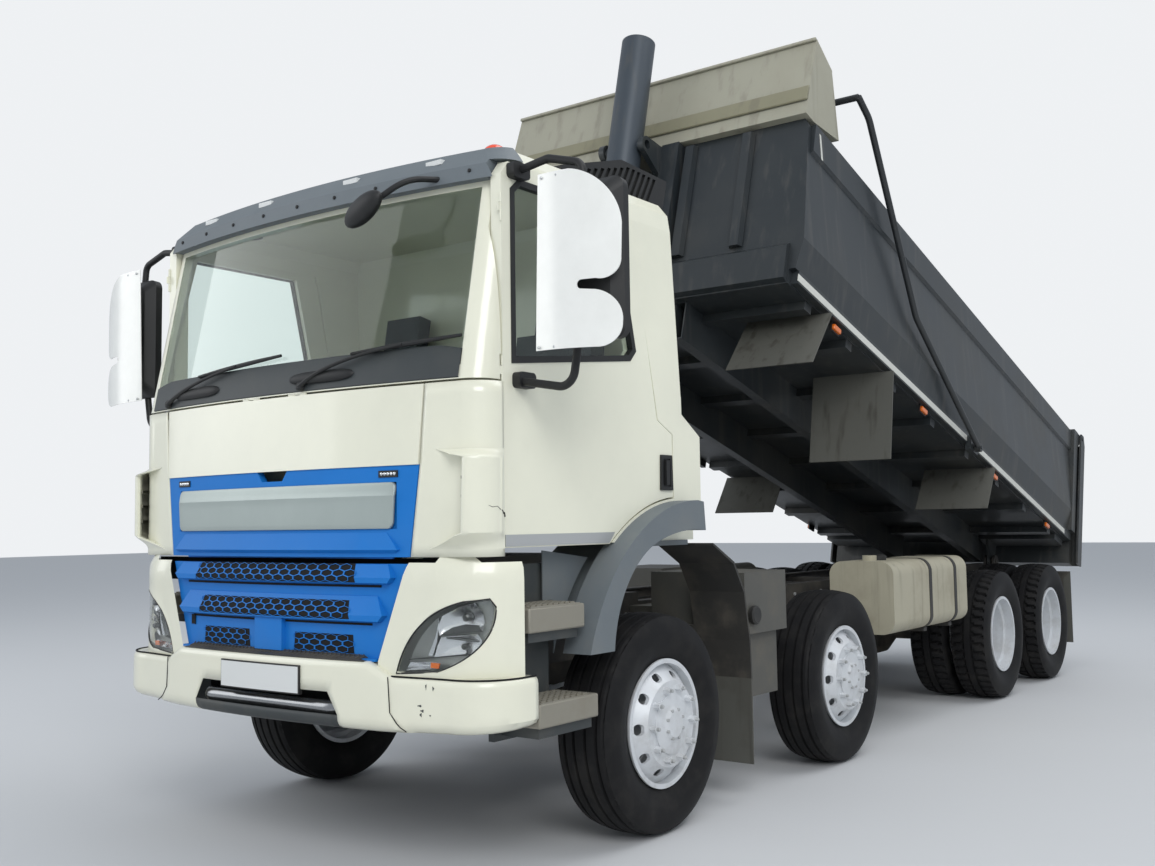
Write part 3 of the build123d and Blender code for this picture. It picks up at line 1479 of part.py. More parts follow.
# Boxes between the front axles and, on the right, the silencer, battery box and air tanks
# side, front, length, low z, height, inner y, outer y
box_table = [
    (1, -830.0, 470.0, 850.0, 325.0, 600.0, 1190.0),
    (1, -850.0, 400.0, 510.0, 350.0, 640.0, 1150.0),
    (1, -860.0, 420.0, 900.0, 80.0, rail_half_width + seat_gap, 620.0),
    (-1, -830.0, 480.0, 520.0, 640.0, 600.0, 1190.0),
    (-1, -860.0, 420.0, 880.0, 80.0, rail_half_width + seat_gap, 620.0),
    (-1, -2830.0, 700.0, 620.0, 480.0, 620.0, 1180.0),
    (-1, -2880.0, 600.0, 860.0, 80.0, rail_half_width + seat_gap, 640.0),
]
air_tank_radius = 105.0
with BuildPart() as side_boxes:
    for side, front, length, low, height, inner, outer in box_table:
        with BuildSketch(slab_plane(side, inner, outer)):
            with Locations((front - 0.5 * length, low + 0.5 * height)):
                Rectangle(length, height)
        extrude(amount=outer - inner)
    for z in (760.0, 990.0):
        with BuildSketch(cross_plane(-4300)):
            with Locations((-700, z)):
                Circle(air_tank_radius)
        extrude(amount=620)
    for station in (-3800.0, -4200.0):
        with BuildSketch(cross_plane(station - 20)):
            with Locations((-0.5 * (rail_half_width + seat_gap + 640), 875)):
                Rectangle(640 - rail_half_width - seat_gap, 240)
        extrude(amount=40)
side_boxes.part.label = "side_boxes"
export_step(side_boxes.part, "parts/side_boxes.step")

# Guards: liners and flaps behind the front wheels, flaps behind the rear wheels
with BuildPart() as wheel_guards:
    for side in (1, -1):
        with BuildSketch(slab_plane(side, 905, 1235)):
            with BuildLine():
                Polyline(
                    (-440, 1330),
                    (-640, 1230),
                    (-740, 1080),
                    (-790, 826),
                    (-800, 617),
                    (-812, 617),
                    (-802, 826),
                    (-752, 1086),
                    (-650, 1240),
                    (-440, 1342),
                    (-440, 1330),
                )
            make_face()
        extrude(amount=330)
        with BuildSketch(slab_plane(side, 940, 1235)):
            with Locations((-803, 410)):
                Rectangle(10, 440)
        extrude(amount=295)
        with BuildSketch(slab_plane(side, rail_half_width + seat_gap, 910)):
            with Locations((-798, 870)):
                Rectangle(40, 50)
        extrude(amount=910 - rail_half_width - seat_gap)
        with BuildSketch(slab_plane(side, 620, 1235)):
            with Locations((-7020, 600)):
                Rectangle(10, 660)
        extrude(amount=615)
        with BuildSketch(slab_plane(side, rail_half_width + seat_gap, 1200)):
            with Locations((-7028, 905)):
                Rectangle(24, 50)
        extrude(amount=1200 - rail_half_width - seat_gap)
wheel_guards.part.label = "wheel_guards"
export_step(wheel_guards.part, "parts/wheel_guards.step")

# Rear bar with lamp boxes, hung under the rails' ends
with BuildPart() as rear_bar:
    with BuildSketch(cross_plane(-7080)):
        with Locations((0, 560)):
            Rectangle(2300, 90)
        for side in (1, -1):
            with Locations((side * 900, 680)):
                Rectangle(360, 160)
    extrude(amount=50)
    for side in (1, -1):
        with BuildSketch(slab_plane(side, 340, 400)):
            with Locations((-6990, 626)):
                Rectangle(100, 207.4)
        extrude(amount=60)
rear_bar.part.label = "rear_bar"
export_step(rear_bar.part, "parts/rear_bar.step")

# Bed tub: floor, flared sides and headboard with a recess for the ram
tail_post_y = 1244.0
post_top_w = 1340.0
side_half_top = 1185.0
tub_half = [
    (0.0, 240.0),
    (1160.0, 240.0),
    (1160.0, 330.0),
    (1200.0, 332.0),
    (bed_side_low_y, bed_side_low_w),
    (side_half_top, top_rail_high_w),
    (side_half_top - bed_wall, top_rail_high_w),
    (bed_side_low_y - bed_wall, bed_side_low_w),
    (1140.0, 352.0),
    (1110.0, bed_floor_w),
    (0.0, bed_floor_w),
]
headboard_half = tub_half[:6] + [(side_half_top - 25, headboard_top_w), (0.0, headboard_top_w)]
bed_length = bed_front_u - bed_rear_u
recess_wall = 30.0
recess_back_u = bed_front_u - ram_recess_depth


def mirrored_profile(points):
    """A closed outline from its left half, which starts and ends on local x = 0."""
    return points + [(-y, w) for y, w in reversed(points[1:-1])] + [points[0]]


with BuildPart() as bed_tub:
    with BuildSketch(bed_cross_plane(bed_rear_u)):
        with BuildLine():
            Polyline(*mirrored_profile(tub_half))
        make_face()
    extrude(amount=bed_length)
    with BuildSketch(bed_cross_plane(bed_front_u - headboard_thick)):
        with BuildLine():
            Polyline(*mirrored_profile(headboard_half))
        make_face()
    extrude(amount=headboard_thick)
    with BuildSketch(bed_cross_plane(recess_back_u - recess_wall)):
        with Locations((0, 0.5 * (240 + headboard_top_w))):
            Rectangle(2 * (ram_recess_half + recess_wall), headboard_top_w - 240)
    extrude(amount=ram_recess_depth + recess_wall)
    with BuildSketch(bed_cross_plane(recess_back_u)):
        with Locations((0, 0.5 * (200 + headboard_top_w + 20))):
            Rectangle(2 * ram_recess_half, headboard_top_w + 20 - 200)
    extrude(amount=ram_recess_depth + 60, mode=Mode.SUBTRACT)
    # Bolster beam under the headboard
    for side in (1, -1):
        with BuildSketch(bed_slab_plane(side, 310, 1150)):
            with BuildLine():
                Polyline(
                    (bed_front_u - 20, 240),
                    (bed_front_u + 40, 262),
                    (bed_front_u + 40, 470),
                    (bed_front_u - 20, 520),
                    (bed_front_u - 20, 240),
                )
            make_face()
        extrude(amount=840)
bed_tub.part.label = "bed_tub"
export_step(bed_tub.part, "parts/bed_tub.step")

# Bed rails: lower side rails, top rails, tail posts with the tailgate's hinge lugs and pins
gate_pin_u = -260.0
gate_pin_w = 1300.0
gate_pin_radius = 18.0
arm_pivot_u = 2700.0
arm_pivot_w = 230.0
arm_y = 1275.0
with BuildPart() as bed_rails:
    for side in (1, -1):
        with BuildSketch(bed_cross_plane(bed_rear_u)):
            with Locations((side * 0.5 * (1160.3 + 1208), 0.5 * (250 + 329.7))):
                Rectangle(1208 - 1160.3, 79.7)
            with BuildLine():
                Polyline(
                    (side * 1197.5, 1120),
                    (side * 1216, 1138),
                    (side * 1216, 1318),
                    (side * 1140, 1318),
                    (side * 1140, top_rail_high_w + seat_gap),
                    (side * 1185.4, top_rail_high_w + seat_gap),
                    (side * 1197.5, 1120),
                )
            make_face()
        extrude(amount=bed_length - headboard_thick - seat_gap)
        with BuildSketch(bed_cross_plane(bed_rear_u)):
            with BuildLine():
                Polyline(
                    (side * 1200.5, 329),
                    (side * tail_post_y, 329),
                    (side * tail_post_y, post_top_w),
                    (side * 1185.4, post_top_w),
                    (side * 1185.4, top_rail_high_w + seat_gap),
                    (side * (bed_side_low_y + seat_gap), bed_side_low_w),
                    (side * 1200.5, 329),
                )
            make_face()
        extrude(amount=116)
        with BuildSketch(bed_slab_plane(side, 1208, tail_post_y)):
            with BuildLine():
                Polyline(
                    (-150, 1200),
                    (-150, post_top_w),
                    (gate_pin_u, gate_pin_w + 34),
                    (gate_pin_u, gate_pin_w - 34),
                    (-200, 1200),
                    (-150, 1200),
                )
            make_face()
            with Locations((gate_pin_u, gate_pin_w)):
                Circle(34)
        extrude(amount=tail_post_y - 1208)
        with BuildSketch(bed_slab_plane(side, 1215, 1274)):
            with Locations((gate_pin_u, gate_pin_w)):
                Circle(gate_pin_radius)
        extrude(amount=59)
        # Pivot boss for the sheeting arm
        with BuildSketch(bed_slab_plane(side, 1200, 1243)):
            with Locations((arm_pivot_u, arm_pivot_w + 20)):
                Rectangle(160, 110)
        extrude(amount=43)
        with BuildSketch(bed_slab_plane(side, 1230, 1304)):
            with Locations((arm_pivot_u, arm_pivot_w)):
                Circle(14)
        extrude(amount=74)
bed_rails.part.label = "bed_rails"
export_step(bed_rails.part, "parts/bed_rails.step")

# Tailgate: ribbed panel hung from the top pins, with side cheeks
gate_front_u = -200.0
gate_skin_u = -245.0
gate_rib_u = -330.0
gate_half = 1190.0
gate_low_w = 40.0
gate_top_w = 1330.0
cheek_inner = 1250.0
cheek_outer = 1268.0
gate_rib_w = [75.0, 470.0, 865.0, 1260.0]
with BuildPart() as tailgate:
    with BuildSketch(bed_slab_plane(1, -gate_half, gate_half)):
        with Locations((0.5 * (gate_front_u + gate_skin_u), 0.5 * (gate_low_w + gate_top_w))):
            Rectangle(gate_front_u - gate_skin_u, gate_top_w - gate_low_w)
    extrude(amount=2 * gate_half)
    with BuildSketch(bed_slab_plane(1, -gate_half + 20, gate_half - 20)):
        for w in gate_rib_w:
            with Locations((0.5 * (gate_rib_u + gate_skin_u) + 2, w)):
                Rectangle(gate_skin_u - gate_rib_u, 70)
    extrude(amount=2 * gate_half - 40)
    for side in (1, -1):
        with BuildSketch(bed_slab_plane(side, gate_half - 90, gate_half)):
            with Locations((0.5 * (gate_rib_u + gate_skin_u) + 1, 0.5 * (gate_low_w + gate_top_w))):
                Rectangle(gate_skin_u - gate_rib_u + 2, gate_top_w - gate_low_w)
        extrude(amount=90)
        with BuildSketch(bed_slab_plane(side, gate_half - 40, cheek_outer)):
            with Locations((gate_rib_u + 8, 645)):
                Rectangle(16, 1210)
        extrude(amount=cheek_outer - gate_half + 40)
        with BuildSketch(bed_slab_plane(side, cheek_inner, cheek_outer)):
            with BuildLine():
                Polyline(
                    (-215, gate_low_w),
                    (-345, gate_low_w),
                    (-345, 1250),
                    (-300, 1340),
                    (-225, 1340),
                    (-215, 1250),
                    (-215, gate_low_w),
                )
            make_face()
            with Locations((gate_pin_u, gate_pin_w)):
                Circle(gate_pin_radius + 0.8, mode=Mode.SUBTRACT)
        extrude(amount=cheek_outer - cheek_inner)
tailgate.part.label = "tailgate"
export_step(tailgate.part, "parts/tailgate.step")

# Bed underframe: runners, crossmembers, hinge lugs, ram bracket posts
underframe_cross_u = [350.0, 1100.0, 1850.0, 2600.0, 3350.0, 4100.0, 4850.0, 5450.0]
lug_inner = 505.0
lug_outer = 530.0
lug_radius = 70.0
runner_inner = 360.0
runner_outer = 440.0
runner_rear_u = 40.0
runner_front_u = 5700.0
runner_steel = 8.0
cross_low_w = 185.0
floor_low_w = 240.0 - seat_gap
runner_mid_w = 0.5 * (runner_low_w + floor_low_w)
with BuildPart() as bed_underframe:
    for side in (1, -1):
        with BuildSketch(bed_slab_plane(side, runner_inner, runner_outer)):
            with Locations((0.5 * (runner_front_u + runner_rear_u), runner_mid_w)):
                Rectangle(runner_front_u - runner_rear_u, floor_low_w - runner_low_w)
        extrude(amount=runner_outer - runner_inner)
        with BuildSketch(bed_slab_plane(side, runner_inner + runner_steel, runner_outer - runner_steel)):
            with Locations((0.5 * (runner_front_u + runner_rear_u), runner_mid_w)):
                Rectangle(runner_front_u - runner_rear_u + 2, floor_low_w - runner_low_w - 2 * runner_steel)
        extrude(amount=runner_outer - runner_inner - 2 * runner_steel, mode=Mode.SUBTRACT)
        with BuildSketch(bed_slab_plane(side, lug_inner, lug_outer)):
            Circle(lug_radius)
            with BuildLine():
                Polyline(
                    (-lug_radius, 0),
                    (-120, floor_low_w),
                    (160, floor_low_w),
                    (lug_radius, 0),
                    (-lug_radius, 0),
                )
            make_face()
            Circle(hinge_pin_radius + 0.8, mode=Mode.SUBTRACT)
        extrude(amount=lug_outer - lug_inner)
        with BuildSketch(bed_slab_plane(side, runner_outer - 5, 1150)):
            with Locations((20, 0.5 * (cross_low_w + floor_low_w))):
                Rectangle(260, floor_low_w - cross_low_w)
        extrude(amount=1155 - runner_outer)
    with BuildSketch(bed_slab_plane(1, -1150, 1150)):
        for u in underframe_cross_u:
            with Locations((u, 0.5 * (cross_low_w + floor_low_w))):
                Rectangle(90, floor_low_w - cross_low_w)
    extrude(amount=2300)
    # Posts on the headboard with the ram's ears
    for side in (1, -1):
        with BuildSketch(bed_slab_plane(side, 170, 300)):
            with Locations((bed_front_u + seat_gap + 40, 0.5 * (245 + 1340))):
                Rectangle(80, 1340 - 245)
        extrude(amount=130)
        with BuildSketch(bed_slab_plane(side, 135, 175)):
            with BuildLine():
                Polyline(
                    (bed_front_u + 10, 1100),
                    (bed_front_u + 10, 1330),
                    (ram_pin_u, ram_pin_w + 55),
                    (ram_pin_u, ram_pin_w - 55),
                    (bed_front_u + 10, 1100),
                )
            make_face()
            with Locations((ram_pin_u, ram_pin_w)):
                Circle(55)
            with Locations((ram_pin_u, ram_pin_w)):
                Circle(ram_pin_radius + 0.8, mode=Mode.SUBTRACT)
        extrude(amount=40)
bed_underframe.part.label = "bed_underframe"
export_step(bed_underframe.part, "parts/bed_underframe.step")

# Sheet box on top of the headboard: thin folded sheet with end plates
sheet_thick = 8.0
box_outer = [
    (bed_front_u + 55, headboard_top_w + seat_gap),
    (bed_front_u + 19, 1900.0),
    (5535.0, 1825.0),
    (5527.0, 1817.0),
    (5755.0, 1889.0),
    (bed_front_u + 46, headboard_top_w + 9),
    (bed_front_u - 60, headboard_top_w + 9),
    (5350.0, 1429.0),
    (5343.0, 1421.0),
    (bed_front_u - 60, headboard_top_w + seat_gap),
]
box_end = [
    (bed_front_u + 55, headboard_top_w + seat_gap),
    (bed_front_u + 19, 1900.0),
    (5535.0, 1825.0),
    (5343.0, 1421.0),
    (bed_front_u - 60, headboard_top_w + seat_gap),
]
with BuildPart() as sheet_box:
    with BuildSketch(bed_slab_plane(1, -1190, 1190)):
        with BuildLine():
            Polyline(*box_outer, box_outer[0])
        make_face()
    extrude(amount=2380)
    for side in (1, -1):
        with BuildSketch(bed_slab_plane(side, 1190 - sheet_thick, 1190)):
            with BuildLine():
                Polyline(*box_end, box_end[0])
            make_face()
        extrude(amount=sheet_thick)
sheet_box.part.label = "sheet_box"
export_step(sheet_box.part, "parts/sheet_box.step")

# Spray flaps hung under the floor beside the wheels
# bed frame: top u, bottom u, bottom w
flap_table = [(5295.0, 5487.0, -160.0), (4318.0, 4250.0, -360.0), (2170.0, 2310.0, -140.0)]
flap_thick = 10.0
with BuildPart() as bed_flaps:
    for side in (1, -1):
        for top_u, bottom_u, bottom_w in flap_table:
            with BuildSketch(bed_slab_plane(side, 650, 1235)):
                with BuildLine():
                    Polyline(
                        (top_u, floor_low_w),
                        (bottom_u, bottom_w),
                        (bottom_u - flap_thick, bottom_w),
                        (top_u - flap_thick, floor_low_w),
                        (top_u, floor_low_w),
                    )
                make_face()
            extrude(amount=585)
bed_flaps.part.label = "bed_flaps"
export_step(bed_flaps.part, "parts/bed_flaps.step")

# Sheeting arms: bent tubes either side joined by a cross tube behind the sheet box
arm_radius = 22.0
arm_bend = 160.0
# bed frame, from the pivot up
arm_path = [(arm_pivot_u, arm_pivot_w), (4100.0, 720.0), (5120.0, 1700.0), (5300.0, 1750.0)]
with BuildPart() as sheet_arms:
    for side in (1, -1):
        with BuildLine(bed_side_plane(side * arm_y)) as arm_line:
            FilletPolyline(*arm_path, radius=arm_bend)
        start = bed_point(*arm_path[0], side * arm_y)
        with BuildSketch(Plane(origin=start, z_dir=arm_line.line % 0)):
            Circle(arm_radius)
        sweep(path=arm_line.line)
        with BuildSketch(bed_slab_plane(side, arm_y - arm_radius, arm_y + arm_radius)):
            with Locations((arm_pivot_u, arm_pivot_w)):
                Circle(34)
        extrude(amount=2 * arm_radius)
        with BuildSketch(bed_slab_plane(side, arm_y - 40, arm_y + 40)):
            with Locations((arm_pivot_u, arm_pivot_w)):
                Circle(14.8)
        extrude(amount=80, mode=Mode.SUBTRACT)
    with BuildSketch(bed_slab_plane(1, -arm_y, arm_y)):
        with Locations(arm_path[-1]):
            Circle(arm_radius)
    extrude(amount=2 * arm_y)
sheet_arms.part.label = "sheet_arms"
export_step(sheet_arms.part, "parts/sheet_arms.step")

# Telescopic ram: base tube, two stages, and the cover whose rod is the last stage
ram_foot = Vector(front_axle_x - ram_base_back, 0, ram_base_z)
ram_head = bed_point(ram_pin_u, ram_pin_w)
ram_axis = (ram_head - ram_foot).normalized()
ram_length = (ram_head - ram_foot).length
ram_slide_at_rest = 538.7
ram_radii = [
    ram_base_radius,
    ram_base_radius - ram_stage_step,
    ram_base_radius - 2 * ram_stage_step,
    ram_base_radius - 3 * ram_stage_step,
]


def ram_tube(start, end, outer, wall):
    """Adds a tube on the ram's axis between two distances from its foot."""
    plane = Plane(origin=ram_foot + ram_axis * start, x_dir=(0, 1, 0), z_dir=ram_axis)
    with BuildSketch(plane, mode=Mode.PRIVATE) as ring:
        Circle(outer)
        if wall:
            Circle(outer - wall, mode=Mode.SUBTRACT)
    extrude(ring.sketch, amount=end - start)


with BuildPart() as ram_base:
    ram_tube(40, ram_tube_length, ram_radii[0], ram_stage_wall)
    ram_tube(40, 75, ram_radii[0], 0)
    ram_tube(ram_tube_length - 40, ram_tube_length, ram_radii[0] + 5, ram_stage_wall + 5)
    with BuildSketch(side_plane(ram_ear_inner - 6)):
        with Locations((-ram_base_back, ram_base_z)):
            Circle(52)
    extrude(amount=2 * ram_ear_inner - 12)
    with BuildSketch(side_plane(ram_ear_inner + 22)):
        with Locations((-ram_base_back, ram_base_z)):
            Circle(ram_pin_radius)
    extrude(amount=2 * ram_ear_inner + 44)
ram_base.part.label = "ram_base"
export_step(ram_base.part, "parts/ram_base.step")

for stage in (1, 2):
    low = 70 + 20 * stage + stage * ram_slide_at_rest
    high = ram_tube_length + 30 * stage + stage * ram_slide_at_rest
    with BuildPart() as ram_stage:
        ram_tube(low, high, ram_radii[stage], ram_stage_wall)
        ram_tube(high - 25, high, ram_radii[stage] + 8, ram_stage_wall + 8)
    ram_stage.part.label = f"ram_stage_{stage}"
    export_step(ram_stage.part, f"parts/{ram_stage.part.label}.step")

with BuildPart() as ram_cover:
    cover_low = ram_length - ram_cover_below_pin
    cover_high = ram_length + ram_cover_above_pin
    ram_tube(cover_low, cover_high, ram_cover_radius, ram_cover_wall)
    ram_tube(cover_high - 14, cover_high, ram_cover_radius, 0)
    ram_tube(130 + 3 * ram_slide_at_rest, cover_high - 10, ram_radii[3], ram_stage_wall)
    for side in (1, -1):
        with BuildSketch(bed_slab_plane(side, ram_cover_radius - 6, 129)):
            with Locations((ram_pin_u, ram_pin_w)):
                Circle(ram_pin_radius)
        extrude(amount=129 - ram_cover_radius + 6)
ram_cover.part.label = "ram_cover"
export_step(ram_cover.part, "parts/ram_cover.step")
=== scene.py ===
"""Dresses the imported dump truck: finishes for its solids, and the small pieces that give it its look."""

import json
import logging
from dataclasses import dataclass, field
from enum import Enum
from math import cos, pi, radians, sin
from typing import Any, Callable

import bmesh
import bpy
import numpy as np
from mathutils import Matrix, Vector


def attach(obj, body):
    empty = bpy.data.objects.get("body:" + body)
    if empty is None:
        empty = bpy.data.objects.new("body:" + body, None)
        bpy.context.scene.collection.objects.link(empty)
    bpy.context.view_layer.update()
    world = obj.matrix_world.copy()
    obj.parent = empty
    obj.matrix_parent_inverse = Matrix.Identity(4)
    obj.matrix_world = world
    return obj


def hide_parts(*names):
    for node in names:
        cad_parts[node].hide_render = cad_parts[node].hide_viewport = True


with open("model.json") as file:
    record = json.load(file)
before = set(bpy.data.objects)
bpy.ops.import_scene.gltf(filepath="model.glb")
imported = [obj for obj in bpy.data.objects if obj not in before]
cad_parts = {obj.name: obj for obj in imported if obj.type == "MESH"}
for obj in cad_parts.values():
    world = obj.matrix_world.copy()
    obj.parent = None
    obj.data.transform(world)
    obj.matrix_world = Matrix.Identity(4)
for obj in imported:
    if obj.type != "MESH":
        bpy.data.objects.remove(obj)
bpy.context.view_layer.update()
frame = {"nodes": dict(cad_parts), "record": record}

Array = np.ndarray
log = logging.getLogger("dump_truck")

# The truck's own places, in metres: ahead of axle 1, left of the middle, above the ground
AXLE_1 = 3.115
AXLES = {"axle_1": 0.0, "axle_2": -2.0, "axle_3": -5.05, "axle_4": -6.43}
WHEEL_RADIUS = 0.512
SINGLE_Y = 1.087
TWIN_Y = (1.083, 0.753)
BOW_RADIUS = 6.1
BED_HINGE = (-6.95, 1.02)
BED_ANGLE = radians(16.0)
CAB_SIDE = 1.15
LAMP_NOSE = 1.345
LAMP_HALF = 1.235
LAMP_CORNER = 0.35
HATCH_NOSE = 1.322
SCREEN_NOSE = 1.315
SCREEN_LOW = 2.041
SCREEN_RAKE = 0.2037
GUARD_REAR = 1.05  # the mirror guard's sheet lies ahead of this, and the mirror's case behind it
FLAP_TOP = 0.64
SIDES = (1, -1)
SMOOTH_ANGLE = radians(35.0)

Pairs = tuple[tuple[float, ...], ...]
Outline = Array | Pairs | list[tuple[float, float]]


class View(Enum):
    """How an outline's two numbers and its depth become a place on the truck."""

    SIDE = "ahead, up, left"
    FRONT = "left, up, ahead"
    PLAN = "ahead, left, up"
    BED_SIDE = "along the bed, above its floor line, left"
    BED_PLAN = "along the bed, left, above its floor line"

    def place(self, a: Array, b: Array, c: Array) -> Array:
        """Places points of an outline.

        Args:
            a: first number of each point of the outline.
            b: second number of each point of the outline.
            c: depth of each point.

        Returns:
            The points in the truck's frame, one row each.
        """
        a, b, c = np.broadcast_arrays(*(np.asarray(part, float) for part in (a, b, c)))
        if self is View.SIDE:
            return np.stack([a + AXLE_1, c, b], -1)
        if self is View.FRONT:
            return np.stack([c + AXLE_1, a, b], -1)
        if self is View.PLAN:
            return np.stack([a + AXLE_1, b, c], -1)
        if self is View.BED_SIDE:
            along, left, above = a, c, b
        else:
            along, left, above = a, b, c
        x = AXLE_1 + BED_HINGE[0] + along * cos(BED_ANGLE) - above * sin(BED_ANGLE)
        z = BED_HINGE[1] + along * sin(BED_ANGLE) + above * cos(BED_ANGLE)
        return np.stack([x, left, z], -1)


def bow_drop(left: Array | float) -> Array | float:
    """How far the cab's bowed front has dropped back at a distance left of its middle."""
    return left**2 / (2 * BOW_RADIUS)


@dataclass
class Surface:
    """Points and faces of a piece, in the truck's frame."""

    points: Array
    faces: list[list[int]]

    def __add__(self, other: "Surface") -> "Surface":
        """Both surfaces as one."""
        shift = len(self.points)
        moved = [[i + shift for i in face] for face in other.faces]
        return Surface(np.vstack([self.points, other.points]), self.faces + moved)

    def mirrored(self) -> "Surface":
        """The same surface on the truck's other side."""
        return Surface(self.points * np.array([1.0, -1.0, 1.0]), [face[::-1] for face in self.faces])

    def both_sides(self) -> "Surface":
        """This surface and its mirror image."""
        return self + self.mirrored()

    def on_side(self, side: int) -> "Surface":
        """The surface itself for the left, or its mirror image for the right."""
        return self if side > 0 else self.mirrored()

    def bowed(self) -> "Surface":
        """The surface laid on the front's bow: each point drops back by its left squared over two radii."""
        points = self.points.copy()
        points[:, 0] -= bow_drop(points[:, 1])
        return Surface(points, self.faces)


def grid(points: Array, wrap_rows: bool = False, wrap_columns: bool = False) -> Surface:
    """A surface through a grid of points.

    Args:
        points: rows by columns by three.
        wrap_rows: whether the last row joins the first.
        wrap_columns: whether the last column joins the first.

    Returns:
        The surface, one quadrilateral between each four neighbours.
    """
    rows, columns = points.shape[:2]
    index = np.arange(rows * columns).reshape(rows, columns)
    if wrap_rows:
        index = np.vstack([index, index[:1]])
    if wrap_columns:
        index = np.hstack([index, index[:, :1]])
    faces = np.stack([index[:-1, :-1], index[1:, :-1], index[1:, 1:], index[:-1, 1:]], -1)
    return Surface(points.reshape(-1, 3), faces.reshape(-1, 4).tolist())


def slab(outline: Outline, low: float, high: float, view: View) -> Surface:
    """A flat outline given thickness: the outline at two depths, joined by its walls.

    Args:
        outline: its points in order, two numbers each.
        low: depth of the first face.
        high: depth of the second face.
        view: how the outline lies on the truck.

    Returns:
        The closed surface.
    """
    flat = np.array(outline, float)
    count = len(flat)
    points = np.vstack([view.place(flat[:, 0], flat[:, 1], depth) for depth in (low, high)])
    ring = np.arange(count)
    after = (ring + 1) % count
    walls = np.stack([ring, after, after + count, ring + count], -1).tolist()
    return Surface(points, walls + [ring[::-1].tolist(), (ring + count).tolist()])


def block(a: tuple[float, float], b: tuple[float, float], c: tuple[float, float], view: View) -> Surface:
    """A box between two values of each of a view's three numbers."""
    return slab([(a[0], b[0]), (a[1], b[0]), (a[1], b[1]), (a[0], b[1])], c[0], c[1], view)


def capped(points: Array) -> Surface:
    """A surface through a grid of points, closed round its columns, with a face at each end."""
    surface = grid(points, wrap_columns=True)
    rows, sides = points.shape[:2]
    last = (rows - 1) * sides
    surface.faces += [list(range(sides)), list(range(last + sides - 1, last - 1, -1))]
    return surface


def turned(profile: Outline, centre: Array, axis: Array, steps: int = 32) -> Surface:
    """A profile turned about an axis: each point's reach along the axis and its radius.

    Args:
        profile: reach and radius of each point, from one end of the axis to the other.
        centre: where reach is zero.
        axis: direction of the axis.
        steps: number of sides.

    Returns:
        The surface, closed at its ends.
    """
    axis = np.asarray(axis, float) / np.linalg.norm(axis)
    helper = np.array([0.0, 0.0, 1.0]) if abs(axis[2]) < 0.9 else np.array([1.0, 0.0, 0.0])
    first = np.cross(axis, helper)
    first /= np.linalg.norm(first)
    second = np.cross(axis, first)
    angle = np.linspace(0, 2 * pi, steps, endpoint=False)
    around = np.outer(np.cos(angle), first) + np.outer(np.sin(angle), second)
    flat = np.array(profile, float)
    return capped(np.asarray(centre, float) + flat[:, None, :1] * axis + flat[:, None, 1:] * around[None])


def route(corners: list[tuple[float, float, float]], bend: float, steps: int = 8) -> Array:
    """A line with rounded corners: at each corner a quadratic blend between points a bend away.

    Args:
        corners: points of the line, ahead, left and up.
        bend: how far from a corner its curve starts.
        steps: points on each curve.

    Returns:
        The points of the rounded line, in the truck's frame.
    """
    given = np.array(corners, float) + np.array([AXLE_1, 0.0, 0.0])
    pieces = [given[:1]]
    t = np.linspace(0, 1, steps)[:, None]
    for before, corner, after in zip(given, given[1:], given[2:]):
        start = corner + (before - corner) / np.linalg.norm(before - corner) * bend
        end = corner + (after - corner) / np.linalg.norm(after - corner) * bend
        pieces.append((1 - t) ** 2 * start + 2 * t * (1 - t) * corner + t**2 * end)
    return np.vstack(pieces + [given[-1:]])


def tube(path: Array, radius: float | Array, sides: int = 12) -> Surface:
    """A round section carried along a path, square to it at each point.

    Args:
        path: points of the path.
        radius: one radius, or one for each point.
        sides: number of sides.

    Returns:
        The closed surface.
    """
    tangent = np.gradient(path, axis=0)
    tangent /= np.linalg.norm(tangent, axis=1, keepdims=True)
    helper = np.where(np.abs(tangent[:, 2:]) < 0.9, [[0.0, 0.0, 1.0]], [[1.0, 0.0, 0.0]])
    first = np.cross(tangent, helper)
    first /= np.linalg.norm(first, axis=1, keepdims=True)
    second = np.cross(tangent, first)
    angle = np.linspace(0, 2 * pi, sides, endpoint=False)
    reach = np.broadcast_to(np.asarray(radius, float), (len(path),))[:, None, None]
    ring = np.cos(angle)[None, :, None] * first[:, None] + np.sin(angle)[None, :, None] * second[:, None]
    return capped(path[:, None] + reach * ring)


def combined(surfaces: list[Surface]) -> Surface:
    """Several surfaces as one."""
    total = surfaces[0]
    for surface in surfaces[1:]:
        total = total + surface
    return total


@dataclass(frozen=True)
class Rounding:
    """An edge rounding that finishes a piece."""

    width: float
    segments: int = 2


